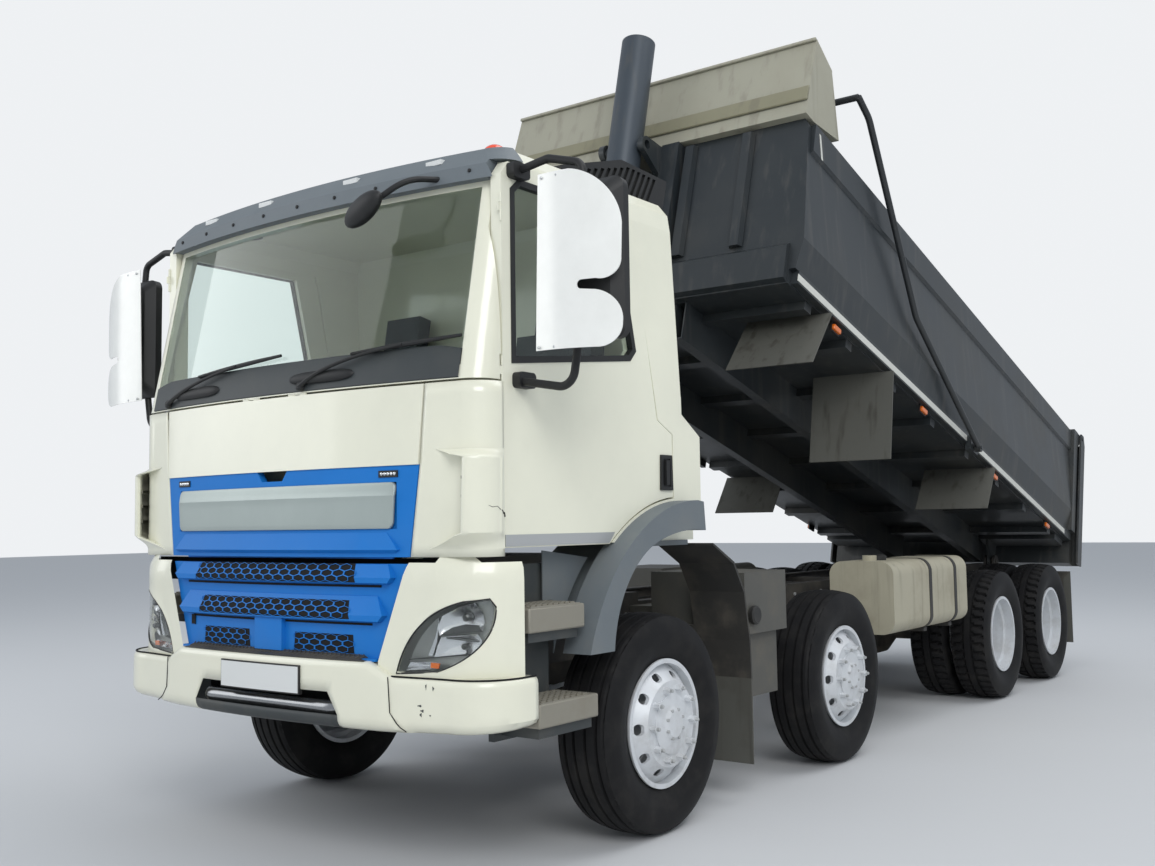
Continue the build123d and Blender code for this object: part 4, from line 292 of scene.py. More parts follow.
def finish_piece(
    name: str,
    surface: Surface,
    body: str,
    slot: str,
    material: bpy.types.Material,
    smooth: bool = True,
    rounding: Rounding | None = None,
    wall: float = 0.0,
    replaces: tuple[str, ...] = (),
) -> bpy.types.Object:
    """Makes a piece of a surface, dresses it and lets it ride on a body.

    Args:
        name: the piece's name.
        surface: its points and faces.
        body: the CAD body that it rides on.
        slot: the record's material slot; not used.
        material: its finish.
        smooth: whether faces under 35 degrees apart shade as one.
        rounding: the edge rounding, if any.
        wall: thickness given to an open skin, inward.
        replaces: CAD nodes that the piece stands for.

    Returns:
        The finished object.
    """
    mesh = bpy.data.meshes.new(name)
    mesh.from_pydata(surface.points, [], surface.faces)
    work = bmesh.new()
    work.from_mesh(mesh)
    bmesh.ops.remove_doubles(work, verts=work.verts, dist=1e-6)
    loose = [point for point in work.verts if not point.link_faces]
    bmesh.ops.delete(work, geom=loose, context="VERTS")
    bmesh.ops.recalc_face_normals(work, faces=work.faces)
    work.to_mesh(mesh)
    work.free()
    piece = bpy.data.objects.new(name, mesh)
    bpy.context.scene.collection.objects.link(piece)
    mesh.materials.append(material)
    if smooth:
        mesh.shade_smooth()
        mesh.set_sharp_from_angle(angle=SMOOTH_ANGLE)
    if wall:
        thick = piece.modifiers.new("wall", "SOLIDIFY")
        thick.thickness = wall
        thick.offset = -1.0
    if rounding:
        edge = piece.modifiers.new("rounding", "BEVEL")
        edge.width = rounding.width
        edge.segments = rounding.segments
        edge.limit_method = "ANGLE"
        edge.angle_limit = SMOOTH_ANGLE
        edge.harden_normals = False
    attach(piece, body)
    if replaces:
        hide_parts(*replaces)
    log.info("%s: %d faces on %s", name, len(mesh.polygons), body)
    return piece


# Finishes


def linear(red: int, green: int, blue: int) -> tuple[float, float, float, float]:
    """A colour seen as red, green and blue out of 255, as the light values that a shader takes."""
    seen = np.array([red, green, blue]) / 255.0
    light = np.where(seen <= 0.04045, seen / 12.92, ((seen + 0.055) / 1.055) ** 2.4)
    return (float(light[0]), float(light[1]), float(light[2]), 1.0)


def add_node(
    tree: bpy.types.NodeTree, kind: str, inputs: dict | None = None, **settings: str | bool
) -> bpy.types.Node:
    """Adds a shader node.

    Args:
        tree: the tree that it joins.
        kind: its type, without the word ShaderNode.
        inputs: by name or number, each input's value, or the output that feeds it.
        settings: its other settings, made first.

    Returns:
        The node.
    """
    node = tree.nodes.new("ShaderNode" + kind)
    for key, value in settings.items():
        setattr(node, key, value)
    for key, value in (inputs or {}).items():
        if isinstance(value, bpy.types.NodeSocket):
            tree.links.new(value, node.inputs[key])
        else:
            node.inputs[key].default_value = value
    return node


def build_weather_group() -> bpy.types.NodeTree:
    """Road dirt: fine grain times patches, heavier below a height and in upright streaks.

    Returns:
        The node group, with masks Dirt, Streak, Tone and a Height for a bump.
    """
    tree = bpy.data.node_groups.new("road weather", "ShaderNodeTree")
    for way, names in (("INPUT", ("Grain", "Dirt", "Low", "High", "Streaks")),
                       ("OUTPUT", ("Dirt", "Streak", "Tone", "Height"))):
        for name in names:
            tree.interface.new_socket(name=name, in_out=way, socket_type="NodeSocketFloat")
    taken = tree.nodes.new("NodeGroupInput").outputs
    given = tree.nodes.new("NodeGroupOutput").inputs
    place = add_node(tree, "TexCoord").outputs["Object"]
    height = add_node(tree, "SeparateXYZ", {0: place}).outputs["Z"]
    fade = add_node(tree, "MapRange", {
        "Value": height, "From Min": taken["Low"], "From Max": taken["High"], "To Min": 1.0, "To Max": 0.0,
    })
    patches = add_node(tree, "TexNoise", {
        "Vector": place, "Scale": taken["Grain"], "Detail": 6.0, "Roughness": 0.62,
    })
    fine = add_node(tree, "TexNoise", {"Vector": place, "Scale": 90.0, "Detail": 3.0})
    ramp = add_node(tree, "MapRange", {
        "Value": patches.outputs["Fac"], "From Min": 0.42, "From Max": 0.68,
    }, interpolation_type="SMOOTHSTEP")
    base = add_node(tree, "Math", {0: ramp.outputs["Result"], 1: 0.75, 2: 0.18}, operation="MULTIPLY_ADD")
    heavy = add_node(tree, "Math", {0: fade.outputs["Result"], 1: 0.85, 2: 0.15}, operation="MULTIPLY_ADD")
    dirt = add_node(tree, "Math", {0: base.outputs[0], 1: heavy.outputs[0]}, operation="MULTIPLY")
    amount = add_node(tree, "Math", {0: dirt.outputs[0], 1: taken["Dirt"]}, operation="MULTIPLY",
                      use_clamp=True)
    stretch = add_node(tree, "Mapping", {"Vector": place, "Scale": (9.0, 9.0, 0.7)})
    runs = add_node(tree, "TexNoise", {"Vector": stretch.outputs["Vector"], "Scale": 1.6, "Detail": 5.0})
    run_ramp = add_node(tree, "MapRange", {
        "Value": runs.outputs["Fac"], "From Min": 0.52, "From Max": 0.72,
    }, interpolation_type="SMOOTHSTEP")
    streak = add_node(tree, "Math", {0: run_ramp.outputs["Result"], 1: taken["Streaks"]},
                      operation="MULTIPLY", use_clamp=True)
    for name, mask in (("Dirt", amount.outputs[0]), ("Streak", streak.outputs[0]),
                       ("Tone", patches.outputs["Fac"]), ("Height", fine.outputs["Fac"])):
        tree.links.new(mask, given[name])
    return tree


@dataclass(frozen=True)
class Finish:
    """A painted, cast, rubber or plastic finish with road dirt on it."""

    name: str
    colour: tuple[int, int, int]
    metallic: float = 0.0
    roughness: float = 0.4
    specular: float = 0.5
    coat: float = 0.0
    dirt_colour: tuple[int, int, int] = (122, 114, 100)
    dirt: float = 0.3
    dirt_low: float = 0.4
    dirt_high: float = 1.6
    streaks: float = 0.0
    streak_colour: tuple[int, int, int] = (110, 104, 92)
    grain: float = 3.0
    bump: float = 0.02
    bump_reach: float = 0.002

    def material(self, weather: bpy.types.NodeTree) -> bpy.types.Material:
        """Builds the finish.

        Args:
            weather: the road weather group.

        Returns:
            The material: colour and roughness change with the group's masks.
        """
        material = bpy.data.materials.new(self.name)
        material.use_nodes = True
        tree = material.node_tree
        group = tree.nodes.new("ShaderNodeGroup")
        group.node_tree = weather
        for name, value in (("Grain", self.grain), ("Dirt", self.dirt), ("Low", self.dirt_low),
                            ("High", self.dirt_high), ("Streaks", self.streaks)):
            group.inputs[name].default_value = value
        mask = group.outputs
        red, green, blue, alpha = linear(*self.colour)
        dark = (0.86 * red, 0.86 * green, 0.86 * blue, alpha)
        light = (min(1.0, 1.1 * red), min(1.0, 1.1 * green), min(1.0, 1.1 * blue), alpha)
        tone = add_node(tree, "Mix", {"Factor": mask["Tone"], "A": dark, "B": light}, data_type="RGBA")
        run = add_node(tree, "Mix", {
            "Factor": mask["Streak"], "A": tone.outputs["Result"], "B": linear(*self.streak_colour),
        }, data_type="RGBA")
        soil = add_node(tree, "Mix", {
            "Factor": mask["Dirt"], "A": run.outputs["Result"], "B": linear(*self.dirt_colour),
        }, data_type="RGBA")
        dull = add_node(tree, "MapRange", {"Value": mask["Dirt"], "To Min": self.roughness, "To Max": 0.85})
        relief = add_node(tree, "Bump", {
            "Height": mask["Height"], "Strength": self.bump, "Distance": self.bump_reach,
        })
        shader = tree.nodes["Principled BSDF"].inputs
        shader["Metallic"].default_value = self.metallic
        shader["Specular IOR Level"].default_value = self.specular
        shader["Coat Weight"].default_value = self.coat
        shader["Coat Roughness"].default_value = 0.08
        tree.links.new(soil.outputs["Result"], shader["Base Color"])
        tree.links.new(dull.outputs["Result"], shader["Roughness"])
        tree.links.new(relief.outputs["Normal"], shader["Normal"])
        return material


@dataclass(frozen=True)
class ClearFinish:
    """Glass or a clear lamp cover."""

    name: str
    colour: tuple[int, int, int] = (235, 243, 240)
    roughness: float = 0.02

    def material(self, weather: bpy.types.NodeTree) -> bpy.types.Material:
        """Builds the clear finish; the group isn't used on glass."""
        material = bpy.data.materials.new(self.name)
        material.use_nodes = True
        shader = material.node_tree.nodes["Principled BSDF"].inputs
        for name, value in (("Base Color", linear(*self.colour)), ("Roughness", self.roughness),
                            ("Transmission Weight", 1.0), ("IOR", 1.25)):
            shader[name].default_value = value
        return material


FINISHES: dict[str, Finish | ClearFinish] = {
    "tyre": Finish(
        "tyre rubber", (19, 19, 21), roughness=0.62, specular=0.22, dirt_colour=(84, 81, 75), dirt=0.2,
        dirt_low=0.0, dirt_high=1.6, grain=7.0, bump=0.12,
    ),
    "rim": Finish(
        "silver wheel paint", (222, 225, 228), metallic=0.25, roughness=0.42, dirt=0.34, dirt_high=1.3,
        dirt_colour=(120, 112, 98), grain=9.0,
    ),
    "axle": Finish("greased axle black", (34, 33, 32), roughness=0.7, dirt=0.55, grain=5.0, bump=0.1),
    "chassis": Finish("chassis black", (36, 36, 37), roughness=0.58, dirt=0.5, dirt_high=1.5, grain=4.0),
    "engine": Finish("engine grey", (58, 57, 55), metallic=0.3, roughness=0.65, dirt=0.5, grain=5.0),
    "tank": Finish(
        "dusty tank paint", (182, 177, 156), metallic=0.1, roughness=0.55, dirt=0.75, dirt_low=0.6,
        dirt_high=1.5, dirt_colour=(128, 118, 100), streaks=0.35, grain=2.4,
    ),
    "box": Finish(
        "dark side box plastic", (82, 82, 78), roughness=0.6, dirt=0.7, dirt_high=1.6,
        dirt_colour=(112, 105, 92), grain=4.0,
    ),
    "cab": Finish(
        "cream white cab paint", (237, 236, 216), roughness=0.3, coat=0.6, dirt=0.22, dirt_low=0.5,
        dirt_high=1.5, dirt_colour=(176, 166, 146), grain=1.8, bump=0.0,
    ),
    "grille": Finish(
        "blue grille paint", (22, 120, 204), roughness=0.5, specular=0.2, coat=0.08, dirt=0.25, dirt_low=0.6,
        dirt_high=1.8, dirt_colour=(88, 104, 128), grain=3.0, bump=0.0,
    ),
    "bar": Finish("satin silver bar", (172, 182, 178), metallic=0.35, roughness=0.36, dirt=0.1, bump=0.0),
    "lamp": Finish("lamp chrome", (214, 216, 218), metallic=0.85, roughness=0.18, dirt=0.05, bump=0.0),
    "bezel": Finish("lamp bezel", (150, 153, 150), metallic=0.5, roughness=0.3, dirt=0.05, bump=0.0),
    "smoke": Finish("smoked lamp plastic", (74, 77, 76), roughness=0.3, dirt=0.05, bump=0.0),
    "plastic": Finish(
        "weathered grey plastic", (106, 114, 119), roughness=0.55, dirt=0.35, dirt_low=0.6, dirt_high=2.4,
        dirt_colour=(128, 124, 114), grain=4.0, bump=0.05,
    ),
    "guard": Finish(
        "black guard rubber", (44, 44, 43), roughness=0.6, dirt=0.6, dirt_low=0.2, dirt_high=1.6,
        grain=3.5, bump=0.06,
    ),
    "glass": ClearFinish("cab glass"),
    "seat": Finish("grey seat cloth", (70, 74, 80), roughness=0.85, dirt=0.1, bump=0.2),
    "mirror": Finish(
        "bright mirror guard", (246, 246, 240), metallic=0.1, roughness=0.24, dirt=0.06, grain=5.0,
    ),
    "bed": Finish(
        "dark bed paint", (40, 46, 50), metallic=0.1, roughness=0.4, coat=0.1, dirt=0.42, dirt_low=0.8,
        dirt_high=3.6, dirt_colour=(104, 99, 88), streaks=0.3, streak_colour=(88, 86, 82), grain=1.6,
    ),
    "sheet": Finish(
        "beige sheet box paint", (164, 162, 146), roughness=0.6, dirt=0.45, dirt_low=1.0, dirt_high=6.0,
        dirt_colour=(116, 108, 90), streaks=0.35, grain=2.2,
    ),
    "sheet_low": Finish(
        "stained sheet box paint", (138, 135, 112), roughness=0.65, dirt=0.5, dirt_low=1.0, dirt_high=6.0,
        dirt_colour=(98, 92, 74), streaks=0.4, grain=2.2,
    ),
    "arm": Finish("black arm paint", (42, 45, 47), roughness=0.4, dirt=0.12, dirt_high=3.0),
    "ram": Finish(
        "ram cover paint", (66, 74, 82), metallic=0.2, roughness=0.4, dirt=0.12, streaks=0.2, grain=2.0,
    ),
    "ram_rod": Finish("ram steel", (150, 152, 154), metallic=0.9, roughness=0.22, dirt=0.1),
    # Real dark plastic on the cowl and steps; on the bumper's turned-in underside its dark is painted shade.
    "cowl": Finish("dark cowl plastic and painted underside shade", (52, 58, 60), roughness=0.5, dirt=0.2, dirt_high=2.6, grain=4.0),
    # Near-black painted shade behind openings, gaps and the grille's cells; the bumper's seams and the
    # scoop's crack use it for their real dark lines.
    "void": Finish("painted shade and dark seams", (7, 8, 9), roughness=0.9, dirt=0.0, bump=0.0),
    # Real matt black plastic, also used as painted shade on the floors of the scoop mouths.
    "black": Finish("matt black plastic and painted mouth shade", (26, 27, 28), roughness=0.55, dirt=0.15, grain=4.0),
    "flap": Finish(
        "dusty rubber flap", (92, 92, 86), roughness=0.75, dirt=0.55, dirt_low=0.0, dirt_high=4.0,
        dirt_colour=(66, 63, 56), streaks=0.75, streak_colour=(60, 57, 50), grain=3.0, bump=0.1,
    ),
    "plate": Finish("blank white plate", (222, 224, 222), roughness=0.4, dirt=0.12, dirt_high=1.2),
    "tread": Finish(
        "worn step metal", (150, 146, 134), metallic=0.35, roughness=0.55, dirt=0.5, dirt_low=0.3,
        dirt_high=1.4, grain=6.0,
    ),
    "amber": Finish("amber lamp", (236, 116, 24), roughness=0.2, coat=0.5, dirt=0.05, bump=0.0),
    "red": Finish("red lamp", (196, 34, 26), roughness=0.2, coat=0.5, dirt=0.05, bump=0.0),
    "beacon": Finish("orange beacon lens", (240, 74, 30), roughness=0.2, coat=0.6, dirt=0.02, bump=0.0),
    "white": Finish(
        "white stripe", (214, 214, 206), roughness=0.45, dirt=0.3, dirt_low=0.6, dirt_high=3.2, grain=6.0,
    ),
    "clear": ClearFinish("lamp cover", (250, 252, 252), 0.03),
    "nut": Finish("wheel nut steel", (196, 198, 198), metallic=0.6, roughness=0.35, dirt=0.25, dirt_high=1.2),
    "trim": Finish(
        "brushed door strip", (192, 194, 194), metallic=0.5, roughness=0.38, dirt=0.25, dirt_high=1.8,
    ),
    "mirror_face": Finish("mirror face", (236, 240, 242), metallic=1.0, roughness=0.03, dirt=0.0, bump=0.0),
}

NODE_FINISH = {
    "bed_flaps": "flap",
    "air_intake": "black",
}


class Wardrobe:
    """All the materials, made once from their finishes."""

    def __init__(self) -> None:
        """Builds the shared group and every material."""
        weather = build_weather_group()
        self.materials = {name: finish.material(weather) for name, finish in FINISHES.items()}

    def __getitem__(self, name: str) -> bpy.types.Material:
        """The material of a finish."""
        return self.materials[name]

    def dress_nodes(self) -> None:
        """Gives each CAD node the finish of its slot, or its own."""
        slots = {part["node"]: part["material_slot"] for part in frame["record"]["subparts"]}
        for name, node in frame["nodes"].items():
            finish = NODE_FINISH.get(name, slots.get(name, "chassis"))
            node.data.materials.clear()
            node.data.materials.append(self[finish])
        for name in ("mirror_left", "mirror_right"):
            self.dress_where(name, lambda place: place[:, 0] < GUARD_REAR, "black")
        self.dress_where("wheel_guards", lambda place: place[:, 2] < FLAP_TOP, "flap")

    def dress_where(self, name: str, chosen: Callable[[Array], Array], finish: str) -> None:
        """Gives some faces of a node another finish.

        Args:
            name: the node.
            chosen: tells from the faces' middles, ahead, left and up, which ones change.
            finish: their finish.
        """
        mesh = frame["nodes"][name].data
        middles = np.empty(3 * len(mesh.polygons))
        mesh.polygons.foreach_get("center", middles)
        place = middles.reshape(-1, 3) - np.array([AXLE_1, 0.0, 0.0])
        mesh.materials.append(self[finish])
        mesh.polygons.foreach_set("material_index", chosen(place).astype(np.int32))


@dataclass
class Trim:
    """A sub-assembly's pieces, all dressed from one wardrobe."""

    wardrobe: Wardrobe

    def put(self, name: str, surface: Surface, body: str, slot: str, finish: str, **options: Any) -> None:
        """Finishes a piece with a material by its name; the rest is as in finish_piece."""
        finish_piece(name, surface, body, slot, self.wardrobe[finish], **options)


# Wheels


@dataclass
class Tyre:
    """A truck tyre turned from its section, with its tread cut into the crown.

    The section's side follows a quadratic through bead, widest point and shoulder; the crown drops by the
    square of the distance from its middle. Grooves run round it. Lugs add slots across, and a tyre with
    none has notches in its shoulders.
    """

    radius: float = 0.511
    bead_radius: float = 0.286
    bead_half: float = 0.104
    half_width: float = 0.1485
    shoulder_half: float = 0.127
    crown_drop: float = 0.016
    groove_depth: float = 0.015
    groove_half: float = 0.0055
    inner_half: float = 0.085
    inner_radius: float = 0.29
    well_radius: float = 0.30
    grooves: tuple[float, ...] = (-0.088, -0.032, 0.032, 0.088)
    lugs: int = 0
    lug_gap: float = 0.26
    lug_lean: float = 3.2
    lug_start: float = 0.024
    notches: int = 60
    notch_gap: float = 0.3
    notch_start: float = 0.112
    steps: int = 120

    def section(self) -> tuple[Array, Array, Array]:
        """The section's points.

        Returns:
            Across the tyre, radius, and how much of each point is tread.
        """
        t = np.linspace(0, 1, 12)
        middle = 0.5 * (self.bead_radius + self.radius)
        shoulder = self.radius - self.crown_drop
        side = self.bead_half * 2 * (t - 0.5) * (t - 1) + self.half_width * 4 * t * (1 - t)
        side += self.shoulder_half * 2 * t * (t - 0.5)
        side_radius = self.bead_radius * 2 * (t - 0.5) * (t - 1) + middle * 4 * t * (1 - t)
        side_radius += shoulder * 2 * t * (t - 0.5)
        side = side - 0.0018 * (np.abs(t - 0.22) < 0.03) + 0.0015 * (np.abs(t - 0.55) < 0.05)
        crown = np.linspace(-self.shoulder_half, self.shoulder_half, 47)[1:-1]
        crown_radius = self.radius - self.crown_drop * (crown / self.shoulder_half) ** 2
        inner = np.array([self.inner_half, 0.0, -self.inner_half])
        inner_radius = np.array([self.inner_radius, self.well_radius, self.inner_radius])
        across = np.concatenate([-side, crown, side[::-1], inner])
        radius = np.concatenate([side_radius, crown_radius, side_radius[::-1], inner_radius])
        tread = np.concatenate([0 * side, 1 + 0 * crown, 0 * side, 0 * inner])
        return across, radius, tread

    def surface(self, x: float, y: float) -> Surface:
        """The tyre standing at an axle.

        Args:
            x: the axle's place in the truck's frame.
            y: the tyre's middle, left of the truck's middle.

        Returns:
            The closed surface.
        """
        across, radius, tread = self.section()
        angle = np.linspace(0, 2 * pi, self.steps, endpoint=False)[:, None]
        ring = np.min(np.abs(across[:, None] - np.array(self.grooves)), axis=1) < self.groove_half
        cut = np.broadcast_to((ring * tread)[None], (self.steps, len(across))).copy()
        if self.lugs:
            turn = angle * self.lugs / (2 * pi) + 0.5 * np.sign(across) + self.lug_lean * np.abs(across)
            slot = (turn % 1.0 < self.lug_gap) & (np.abs(across) > self.lug_start) & (tread > 0)
            cut = np.maximum(cut, slot)
        else:
            turn = angle * self.notches / (2 * pi)
            notch = (turn % 1.0 < self.notch_gap) & (np.abs(across) > self.notch_start) & (tread > 0)
            cut = np.maximum(cut, 0.5 * notch)
        reach = radius[None] - self.groove_depth * cut
        left = np.broadcast_to(y + across, reach.shape)
        points = np.stack([x + reach * np.cos(angle), left, WHEEL_RADIUS + reach * np.sin(angle)], -1)
        return grid(points, wrap_rows=True, wrap_columns=True)


@dataclass
class Wheels(Trim):
    """Tyres in place of the plain ones, and the small metal on each rim."""

    steer: Tyre = field(default_factory=Tyre)
    drive: Tyre = field(
        default_factory=lambda: Tyre(grooves=(-0.03, 0.03), lugs=46, steps=230, groove_depth=0.018)
    )
    nut_count: int = 10
    nut_circle: float = 0.1675
    stud_radius: float = 0.009
    stud_reach: float = 0.046
    single_nut_face: float = 1.245
    twin_nut_face: float = 0.9305
    cap_bolts: int = 8
    cap_circle: float = 0.068
    cap_reach: float = 0.016
    twin_cap_reach: float = 0.073

    def build(self) -> None:
        """Builds every tyre, stud ring and hub bolt ring."""
        for name, ahead in AXLES.items():
            x = AXLE_1 + ahead
            twin = name in ("axle_3", "axle_4")
            for side, word in zip(SIDES, ("left", "right")):
                body = f"wheel_{name}_{word}"
                centres = TWIN_Y if twin else (SINGLE_Y,)
                pattern = self.drive if twin else self.steer
                tyre = combined([pattern.surface(x, side * y) for y in centres])
                plain = (f"tyre_{name}_{word}",)
                self.put(f"tread_{name}_{word}", tyre, body, "tyre", "tyre", replaces=plain)
                face = self.twin_nut_face if twin else self.single_nut_face
                self.put(f"studs_{name}_{word}", self.studs(x, face).on_side(side), body, "rim", "nut")

    def studs(self, x: float, face: float) -> Surface:
        """Stud ends through the nuts, and a ring of bolts on the hub's cap.

        Args:
            x: the axle's place in the truck's frame.
            face: the rim's nut face, left of the truck's middle.

        Returns:
            The studs and bolts of a left wheel.
        """
        reach = self.twin_cap_reach if face == self.twin_nut_face else self.cap_reach
        end = self.stud_reach
        stud = [(0.0, self.stud_radius), (end, self.stud_radius), (end + 0.004, 0.004)]
        bolt = [(0.0, 0.008), (0.014, 0.008), (0.016, 0.004)]
        parts = []
        for profile, left, circle, count, shift, sides in (
            (stud, face, self.nut_circle, self.nut_count, 0.0, 8),
            (bolt, face + reach, self.cap_circle, self.cap_bolts, 0.5, 6),
        ):
            for number in range(count):
                turn = 2 * pi * (number + shift) / count
                centre = [x + circle * cos(turn), left, WHEEL_RADIUS + circle * sin(turn)]
                parts.append(turned(profile, centre, [0, 1, 0], sides))
        return combined(parts)


# Cab


def screen_place(left: Array, up: Array, stand: Array | float) -> Array:
    """Points that stand off the windscreen's skin: its raked nose less the bow's drop."""
    ahead = SCREEN_NOSE - (up - SCREEN_LOW) * SCREEN_RAKE - bow_drop(left) + stand
    return np.stack([ahead + AXLE_1, left, up], -1)


def lamp_ahead(left: Array) -> Array:
    """How far ahead the lamp panel's skin lies: the bow, then the arc of its corner."""
    left = np.abs(left)
    bend = LAMP_HALF - LAMP_CORNER
    bow = LAMP_NOSE - bow_drop(np.minimum(left, bend))
    corner = np.sqrt(np.maximum(LAMP_CORNER**2 - np.maximum(left - bend, 0.0) ** 2, 1e-6)) - LAMP_CORNER
    return bow + corner


@dataclass
class CabFront(Trim):
    """Small pieces on the cab's front, the hatch and the bumper."""

    cowl_low: float = 2.046
    cowl_top: float = 2.19
    cowl_half: float = 1.045
    plate_size: tuple[float, float] = (0.52, 0.111)
    plate_low: float = 0.748
    bumper_nose: float = 1.385
    lamp_left: float = 0.70
    lamp_up: float = 1.666
    lens_count: int = 5
    lens_pitch: float = 0.017
    bar_half: float = 0.728
    bar_flare: float = 0.013
    bar_corner: float = 0.028
    # height, and how far the silver bar stands out there
    bar_section: Pairs = (
        (1.438, 0.002), (1.440, 0.010), (1.447, 0.013), (1.462, 0.0135), (1.50, 0.014), (1.540, 0.0145),
        (1.572, 0.015), (1.575, 0.0155), (1.578, 0.0135), (1.60, 0.010), (1.616, 0.0075), (1.626, 0.006),
        (1.6305, 0.004), (1.632, 0.001),
    )
    # middle and half width of each scoop on the cowl
    scoop_places: Pairs = ((0.30, 0.2), (-0.62, 0.2))
    # each wiper's pivot, knee, and its blade's two ends
    wiper_lines: tuple[Pairs, ...] = (
        ((0.19, 2.066), (0.34, 2.165), (0.47, 2.19), (1.04, 2.222)),
        ((-0.87, 2.066), (-0.72, 2.14), (-0.62, 2.185), (0.02, 2.225)),
    )

    def build(self) -> None:
        """Builds the cowl, wipers, plate, towing tube, silver bar and the hatch's lamps."""
        self.put("screen_cowl", self.cowl(), "cab", "plastic", "cowl")
        self.put("cowl_scoops", self.scoops(), "cab", "plastic", "black")
        self.put("wipers", self.wipers(), "cab", "plastic", "black")
        self.put("number_plate", self.plate(0.0, 0.009, 0.012), "chassis", "bar", "plate")
        self.put("plate_holder", self.plate(0.006, -0.01, 0.0088), "chassis", "plastic", "black")
        self.put("towing_tube", self.towing_tube(), "chassis", "chassis", "ram_rod")
        self.put("hatch_lamp_houses", self.hatch_lamps(0.05, 0.014, 0.003), "hatch", "plastic", "black")
        self.put("bar_sheet", self.bar_sheet(), "hatch", "bar", "bar", wall=0.002, replaces=("grille_bar",))
        self.put("hatch_lamp_lenses", self.lens_dots(), "hatch", "lamp", "lamp")

    def cowl(self) -> Surface:
        """The dark panel under the screen: a strip of the screen's own skin, 4 mm proud, given thickness."""
        left = np.linspace(-self.cowl_half, self.cowl_half, 49)
        up = np.array([self.cowl_low, self.cowl_low + 0.004, self.cowl_top - 0.006, self.cowl_top])
        wide, high = np.meshgrid(left, up)
        high = high - 0.05 * np.maximum(np.abs(wide) - 0.93, 0) * (high > self.cowl_low + 0.1) * 4
        outer = screen_place(wide, high, 0.006)
        outer[0, :, 0] -= 0.005
        outer[-1, :, 0] -= 0.005
        inner = outer - np.array([0.012, 0, 0])
        return grid(np.concatenate([outer, inner[::-1]]), wrap_rows=True)

    def scoops(self) -> Surface:
        """Two long raised air scoops on the cowl: half ellipsoids squeezed flat."""
        parts = []
        for middle, wide in self.scoop_places:
            along = np.linspace(-1, 1, 24)
            across = np.linspace(0, pi, 9)
            height = np.sqrt(np.maximum(1 - along**4, 0.0))[:, None]
            left = middle + wide * along[:, None] + 0 * across
            up = 2.105 + 0.028 * height * np.cos(across)
            stand = 0.008 + 0.02 * height * np.sin(across)
            parts.append(grid(screen_place(left, up, stand)))
        return combined(parts)

    def wipers(self) -> Surface:
        """Two arms from their pivots, with blades on the glass."""
        parts = []
        for pivot, knee, tip_low, tip_high in self.wiper_lines:
            hub = screen_place(*pivot, 0.004)
            parts.append(turned([(0, 0.022), (0.02, 0.02), (0.026, 0.012)], hub, [1, 0, 0.2], 14))
            low, high = np.array(tip_low), np.array(tip_high)
            arm = np.array([pivot, knee, 0.5 * (low + high)])
            t = np.linspace(0, 1, 14)[:, None]
            line = (1 - t) ** 2 * arm[0] + 2 * t * (1 - t) * arm[1] + t**2 * arm[2]
            stand = 0.022 + 0.01 * np.sin(pi * t[:, 0])
            parts.append(tube(screen_place(*line.T, stand), np.linspace(0.011, 0.006, 14), 8))
            s = np.linspace(0, 1, 22)
            blade = low + (high - low) * s[:, None]
            parts.append(tube(screen_place(*blade.T, 0.012), 0.007 + 0.004 * np.sin(pi * s), 8))
        return combined(parts)

    def plate(self, grow: float, back: float, front: float) -> Surface:
        """The number plate or its holder, bent a little with the bumper.

        Args:
            grow: how much further than the plate it reaches on every side.
            back: how far its back stands out from the bumper.
            front: how far its front stands out.

        Returns:
            Eight flat strips on the bow.
        """
        half = 0.5 * self.plate_size[0] + grow
        height = (self.plate_low - grow, self.plate_low + self.plate_size[1] + grow)
        depth = (self.bumper_nose + back, self.bumper_nose + front)
        left = np.linspace(-half, half, 9)
        return combined([block(pair, height, depth, View.FRONT).bowed() for pair in zip(left, left[1:])])

    def bar_sheet(self) -> Surface:
        """The silver bar: a folded sheet with rounded corners and slanted ends, its edges turned back."""
        up, stand = np.array(self.bar_section).T
        near_edge = np.minimum(up - up[0], up[-1] - up)
        round_share = np.minimum(near_edge / self.bar_corner, 1.0)
        corner = self.bar_corner * (1 - np.sqrt(1 - (1 - round_share) ** 2))
        half = self.bar_half + self.bar_flare * (up - up[0]) / (up[-1] - up[0]) - corner
        share = np.concatenate([[-1.0, -0.9985, -0.995], np.linspace(-0.98, 0.98, 41), [0.995, 0.9985, 1.0]])
        drop = np.interp(np.abs(share), [0, 0.98, 0.995, 0.9985, 1.0], [0, 0, 0.001, 0.004, 0.012])
        left = half[:, None] * share[None]
        ahead = HATCH_NOSE + stand[:, None] - drop[None] - bow_drop(left)
        return grid(np.stack([AXLE_1 + ahead, left, up[:, None] + 0 * left], -1))

    def towing_tube(self) -> Surface:
        """A tube across the low air opening, its ends turned back."""
        corners = [(1.2, -0.47, 0.69), (1.325, -0.45, 0.69), (1.325, 0.45, 0.69), (1.2, 0.47, 0.69)]
        return tube(route(corners, 0.07), 0.033, 18)

    def hatch_lamps(self, half: float, tall: float, stand: float) -> Surface:
        """Two small lamp houses high on the grille.

        Args:
            half: half their width.
            tall: half their height.
            stand: how far they stand out.

        Returns:
            Both houses.
        """
        height = (self.lamp_up - tall, self.lamp_up + tall)
        parts = []
        for middle in (self.lamp_left, -self.lamp_left):
            parts.append(block((middle - half, middle + half), height, (1.30, 1.324 + stand), View.FRONT))
        return combined(parts).bowed()

    def lens_dots(self) -> Surface:
        """A row of small round lenses in each lamp house."""
        parts = []
        for side in SIDES:
            for number in range(self.lens_count):
                left = side * self.lamp_left - 2 * self.lens_pitch + self.lens_pitch * number
                centre = [AXLE_1 + 1.327 - bow_drop(left), left, self.lamp_up]
                parts.append(turned([(0, 0.0075), (0.002, 0.006), (0.003, 0.002)], centre, [1, 0, 0], 10))
        return combined(parts)


